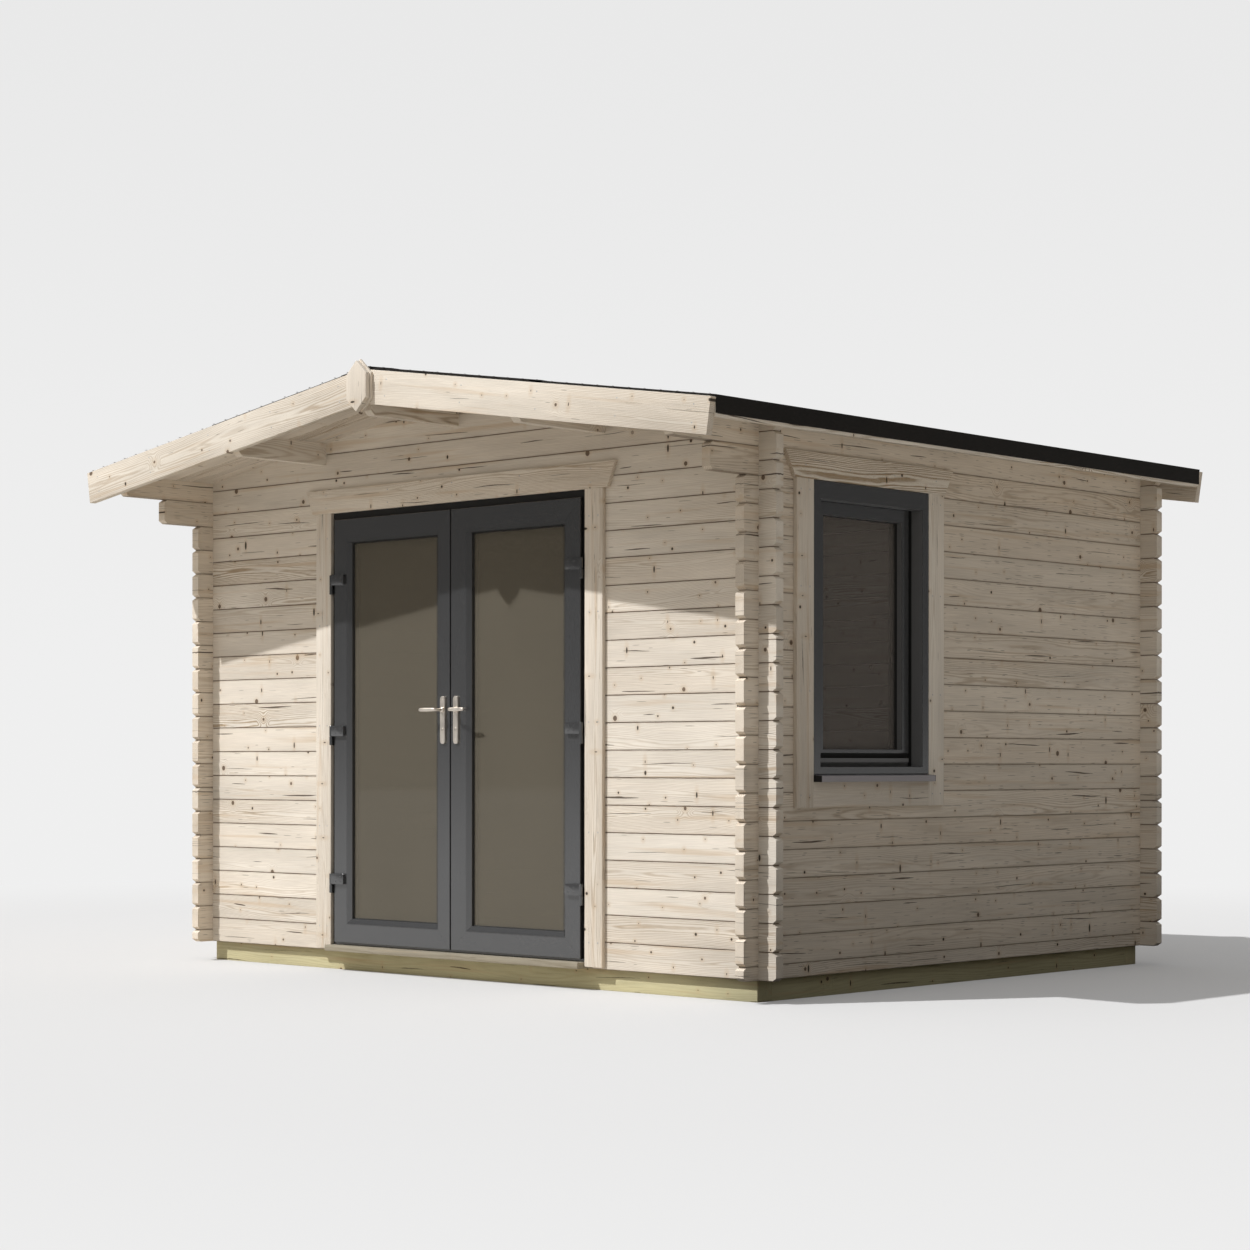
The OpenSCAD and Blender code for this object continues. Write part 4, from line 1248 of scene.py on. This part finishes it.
def make_hinges(side, place, posts):
    """The flaps ride the leaf; posts takes the lower knuckles and the pins, which stay."""
    leaf, screws = Stock(place), []
    posts.place = place
    for level in HINGE_TOPS:
        bottom = BASE + level - HINGE_TALL
        low = bottom + KNUCKLE + 0.001
        high = BASE + level - low
        leaf.turned(knuckle(high), Vector((HINGE_X, HINGE_Y, low)), Z)
        left = HINGE_X - HINGE_WIDE
        outline = rounded(HINGE_WIDE - 0.004, high, 0.007)
        flap = [(a + HINGE_WIDE / 2 - 0.006, b + high / 2) for a, b in outline]
        leaf.plank(flap, X, Z, Vector((left + 0.004, LEAF_FACE, low)), 0.014, 0.004, 3)
        for x in (0.020, 0.052):
            for z in (0.013, high - 0.013):
                screws.append((place @ Vector((left + x, LEAF_FACE - 0.014, low + z)), -Y))
        foot = Vector((HINGE_X, HINGE_Y, bottom))
        posts.turned([(radius, KNUCKLE - z) for radius, z in knuckle(KNUCKLE)][::-1], foot, Z)
        posts.turned([(PIN, 0), (PIN, HINGE_TALL - 0.006)], foot + Z * 0.002, Z, 16)
        corner = (HINGE_X + PIN, WALL_FRONT, bottom + KNUCKLE)
        posts.block((HINGE_X - PIN, HINGE_Y, bottom), corner, Z, 0.0012)
    leaf.piece(side + "_hinge_flaps", ANTHRACITE, side + "_leaf", "anthracite", [side + "_door_hinges"])
    fixings(side + "_hinge_screws", screws, 0.0042, 0.0009, side + "_leaf", ANTHRACITE)


LEVER_LEVEL = BASE + 1.093
KEY = -0.088  # level of the key cylinder from the lever
LEVER_THICK = 0.0068


def make_handle(side, facing):
    """Plate, key cylinder and lever; facing is +1 where the lever points to +X."""
    low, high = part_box(side + "_handle_plate")
    thick = high.y - low.y
    place = Matrix.Translation(((low.x + high.x) / 2, low.y, LEVER_LEVEL)) @ Matrix.Scale(facing, 4, X)
    plate = Stock(place)
    up = (low.z + high.z) / 2 - LEVER_LEVEL
    outline = [(a, b + up) for a, b in rounded(high.x - low.x, high.z - low.z, 0.0125, 7)]
    plate.plank(outline, X, Z, Vector((0, thick, 0)), thick, 0.0025, 3)
    cylinder = [(0.0088, -0.001), (0.0088, 0.0012), (0.0078, 0.0022), (0, 0.0022)]
    plate.turned(cylinder, Vector((0, 0, KEY)), -Y)
    plate.piece(side + "_handle_backplate", SATIN, side + "_leaf", "satin_steel", [side + "_handle_plate"])
    keyway = Stock(place)
    keyway.block((-0.0007, -0.0026, KEY - 0.0045), (0.0007, -0.0020, KEY + 0.0045), Z)
    keyway.piece(side + "_keyway", RUBBER_AND_PAINTED_SHADE, side + "_leaf", "anthracite")
    screws = [(place @ Vector((0, 0, z)), -Y) for z in (0.044, -0.134)]
    fixings(side + "_plate_screws", screws, 0.0036, 0.0009, side + "_leaf", SATIN)

    lever = Stock(place)
    hub = [(0.0122, 0.0004), (0.0122, 0.0050), (0.0112, 0.0075), (0.0085, 0.0090), (LEVER_THICK, 0.0100)]
    lever.turned([(LEVER_THICK, 0.0004), *hub, (0, 0.0100)], Vector((0, 0, 0)), -Y, 32)
    lever.turned([(0, -0.0076), (0.0069, -0.0076), (0.0069, 0.004)], Vector((0, 0, 0)), -Y)
    path, sizes = lever_bar(low.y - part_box(side + "_lever")[0].y)
    lever.swept(path, sizes, Z)
    lever.piece(side + "_lever_handle", SATIN, side + "_handle", "satin_steel", [side + "_lever"])


def lever_bar(reach):
    """The lever's middle line, out from the plate and round to its tip, with its half height and
    half width at each point."""
    length, bend, tip, steps, tip_steps = 0.100, 0.016, 0.010, 8, 6
    tall, wide = 0.0078, 0.0056
    out = -(reach - 0.006)
    path = [Vector((0, -0.006, 0)), Vector((0, -0.020, 0)), Vector((0, out + bend, 0))]
    sizes = [(LEVER_THICK, LEVER_THICK), (0.0064, 0.0064), (LEVER_THICK, 0.0060)]
    for i in range(1, steps + 1):
        a = math.radians(90 * i / steps)
        path.append(Vector((bend * (1 - math.cos(a)), out + bend * (1 - math.sin(a)), 0)))
        sizes.append((LEVER_THICK + 0.0010 * i / steps, 0.0060 - 0.0004 * i / steps))
    for i in range(1, steps + 1):
        path.append(Vector((bend + (length - tip - bend) * i / steps, out, 0.0)))
        sizes.append((tall + 0.0008 * math.sin(math.pi * i / steps), wide))
    for i in range(1, tip_steps + 1):
        a = i / tip_steps * math.pi / 2
        path.append(Vector((length - tip + tip * math.sin(a), out, 0.0)))
        shrink = max(0.08, math.cos(a))
        sizes.append((tall * shrink, wide * max(0.12, shrink ** 0.6)))
    return path, sizes


# ------------------------------------------------------------------ window
WINDOW_DEEP = WALL_SIDE - WINDOW_LOW.x
WINDOW_HALF = (WINDOW_HIGH.y - WINDOW_LOW.y) / 2
WINDOW_BOX = (-WINDOW_HALF, WINDOW_HALF, WINDOW_LOW.z, WINDOW_HIGH.z)
FRAME_BOX = (0.0085 - WINDOW_HALF, WINDOW_HALF - 0.0085, BASE + 0.813, WINDOW_HIGH.z - 0.0045)
FRAME_FACES = (0.043, 0.043, 0.031, 0.0745)
GAP_BOX = inset_box(FRAME_BOX, FRAME_FACES)
SASH_BOX = inset_box(GAP_BOX, (0.032, 0.032, 0.057, 0.001))
SASH_FACES = (0.048, 0.048, 0.015, 0.055)
SETBACK, GAP_FLOOR = 0.030, 0.060  # depths of the sash's face and of the bottom of the gap round it
GAP_FACES = (0.0319, 0.0319, 0.0568, 0.0009)
REVEAL_DEEP = 0.0395  # depth to which the frame's inner faces are lined
PANE_LOW, PANE_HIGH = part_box("window_glass")
GLASS, GLASS_BACK = WALL_SIDE - PANE_HIGH.x, WALL_SIDE - PANE_LOW.x
FRONT_PANE = GLASS_BACK - 0.0125


def make_window_profiles():
    deep = WINDOW_DEEP
    profiles = Stock(WINDOW_PLACE)
    sections = []
    for number, face in enumerate(FRAME_FACES):
        soft = 0.0001 if number == HEAD else 0.001
        sections.append([
            (0, deep), (0, 0.003 - TRIM), (0.0009, 0.0009 - TRIM), (0.003, -TRIM),
            (face - soft, -TRIM), (face, 0.001 - TRIM), (face, deep),
        ])
    profiles.ring(FRAME_BOX, sections, 0)
    flange = (0.0084, 0.0084, FRAME_BOX[2] - WINDOW_LOW.z, WINDOW_HIGH.z - FRAME_BOX[3])
    profiles.ring(WINDOW_BOX, [[(0, deep), (0, 0), (wide, 0), (wide, deep)] for wide in flange], 0)
    profiles.piece("window_frame_profiles", ANTHRACITE, "cabin", "anthracite", ["window_frame"])

    sash = Stock(WINDOW_PLACE)
    sash.ring(SASH_BOX, [[
        (0, deep), (0, SETBACK + 0.0025), (0.0007, SETBACK + 0.0007), (0.0025, SETBACK),
        (face - 0.0015, SETBACK), (face - 0.0006, SETBACK + 0.023), (face, GLASS), (face, deep),
    ] for face in SASH_FACES], 0)
    floor = GAP_FLOOR + 0.004
    sash.ring(GAP_BOX, [[(0, deep), (0, floor), (wide, floor), (wide, deep)] for wide in GAP_FACES], 0)
    sash.piece("window_sash_profiles", ANTHRACITE, "cabin", "anthracite", ["window_sash"])


def make_window_painted_light_linings():
    """Linings in a lighter anthracite, as painted light on the faces that look across the opening and on the
    step under the sash, which stand in shade.
    """
    foot, step = GAP_BOX[2], GAP_BOX[2] + 0.018
    lining = Stock(WINDOW_PLACE)
    lining.strips(FRAME_BOX, FRAME_FACES, (-0.0002, 0.0004), 0.002 - TRIM, REVEAL_DEEP)
    lining.strips(SASH_BOX, SASH_FACES, (-0.0008, 0.0004), SETBACK + 0.002, GLASS - 0.0045)
    lining.block((SASH_BOX[0], SETBACK, step), (SASH_BOX[1], 0.066, step + 0.018), X, 0.001)
    lining.block((GAP_BOX[0] + 0.0004, GAP_FLOOR - 0.0005, foot + 0.0002),
                 (GAP_BOX[1] - 0.0004, GAP_FLOOR + 0.003, step - 0.0005), X)
    lining.piece("window_frame_linings", ANTHRACITE_PAINTED_LIGHT, "cabin", "anthracite")


def make_window_seals_and_shade():
    """Black seals round the glass, and black linings as painted shade in the gap round the sash and between
    the glass and the room.
    """
    back, floor = GLASS_BACK, GAP_FLOOR
    seal_and_shade = Stock(WINDOW_PLACE)
    seal_and_shade.strips(SASH_BOX, SASH_FACES, (-0.0002, 0.0010), GLASS - 0.0043, FRONT_PANE - 0.0001)
    seal_and_shade.ring(SASH_BOX, [[
        (face - 0.0002, back + 0.004), (face + 0.0010, back + 0.0012),
        (face + 0.0010, back), (face - 0.0002, back),
    ] for face in SASH_FACES], 0)
    # painted shade: black lining on the floor of the gap round the sash
    seal_and_shade.ring(GAP_BOX, [[
        (0.0002, floor + 0.0038), (0.0002, floor),
        (wide - 0.0004, floor), (wide - 0.0004, floor + 0.0038),
    ] for wide in GAP_FACES], 0)
    # painted shade: black lining on the frame's inner faces down to the gap
    seal_and_shade.strips(GAP_BOX, [0] * 4, (0.0001, 0.0007), REVEAL_DEEP + 0.0007, floor)
    # painted shade: black lining between the glass and the room
    seal_and_shade.strips(SASH_BOX, SASH_FACES, (-0.0004, 0.0010), WINDOW_DEEP - 0.001, back + 0.005)
    seal_and_shade.piece("window_gaskets", RUBBER_AND_PAINTED_SHADE, "cabin", "anthracite")
    spacer = Stock(WINDOW_PLACE)
    spacer.strips(SASH_BOX, SASH_FACES, (-0.008, 0.0012), FRONT_PANE + 0.0042, back - 0.0042)
    spacer.piece("window_spacer", RUBBER_AND_PAINTED_SHADE, "cabin", "anthracite")


def make_window_panes():
    half = (PANE_HIGH.y - PANE_LOW.y) / 2
    panes = Stock(WINDOW_PLACE)
    for y in (FRONT_PANE, GLASS_BACK - PANE):
        panes.block((-half, y, PANE_LOW.z), (half, y + PANE, PANE_HIGH.z), Z)
    panes.piece("window_panes", WINDOW_GLASS, "cabin", "window_glass", ["window_glass"])


def make_window_sill():
    """A folded sill with a black cap on each end, as painted shade on the ends."""
    low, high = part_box("window_sill")
    half, reach, nose, cap = (high.y - low.y) / 2, high.x - WALL_SIDE, high.z - 0.004, 0.003
    section = [
        (0, high.z), (0.003 - reach, nose), (0.0009 - reach, nose - 0.0008), (-reach, nose - 0.003),
        (-reach, low.z), (0.004 - reach, low.z), (0.004 - reach, low.z + 0.013), (0, low.z + 0.016),
    ]
    sill = Stock(WINDOW_PLACE)
    sill.plank(section, Y, Z, Vector((half - cap, 0, 0)), -2 * (half - cap))
    sill.piece("window_sill_profile", SILL_COAT, "cabin", "grey_sill", ["window_sill"])
    # painted shade: black caps on the sill's ends, which stand in shadow
    shade_caps = Stock(WINDOW_PLACE)
    outline = [(0, low.z), (-reach, low.z), (-reach, nose + 0.0004), (0, high.z)]
    for x in (-half, half - cap):
        shade_caps.plank(outline, Y, Z, Vector((x, 0, 0)), cap, 0.0006)
    shade_caps.piece("window_sill_caps", RUBBER_AND_PAINTED_SHADE, "cabin", "anthracite")


# ------------------------------------------------------------------ the whole cabin
def finish_model_walls():
    across = ("wall_front_left", "wall_front_right", "wall_front_gable", "wall_rear")
    along = ("wall_left", "wall_right", "bracket_logs", "top_logs")
    for nodes, finish in ((across, LOGS_ACROSS), (along, LOGS_ALONG), (("ridge_beam", "purlins"), BEAMS)):
        for name in nodes:
            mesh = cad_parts[name].data
            mesh.materials.clear()
            mesh.materials.append(finish)


finish_model_walls()
make_base()
make_floor()
make_deck("roof_deck_right", HERE, 21, "roof_boards_right")
make_deck("roof_deck_left", MIRROR, 22, "roof_boards_left")
make_felt("felt_right", HERE, "roof_cover_right")
make_felt("felt_left", MIRROR, "roof_cover_left")
clout_nails()
make_eaves()
timber_screws = make_verges("verge_front", ROOF_FRONT - VERGE, "verge_boards_front", -1)
timber_screws += make_verges("verge_rear", ROOF_REAR, "verge_boards_rear", 1)
make_finials()
timber_screws += make_door_trims()
timber_screws += make_window_trims()
fixings("timber_screws", timber_screws, 0.0032, 0.0006, "cabin")
make_threshold()
make_door_frame()
hinge_posts = Stock()
for side, place in (("right", HERE), ("left", MIRROR)):
    make_leaf(side, place)
    make_hinges(side, place, hinge_posts)
hinge_posts.piece("hinge_posts", ANTHRACITE, "cabin", "anthracite", ["frame_hinges"])
make_handle("right", 1)
make_handle("left", -1)
make_window_profiles()
make_window_painted_light_linings()
make_window_seals_and_shade()
make_window_panes()
make_window_sill()
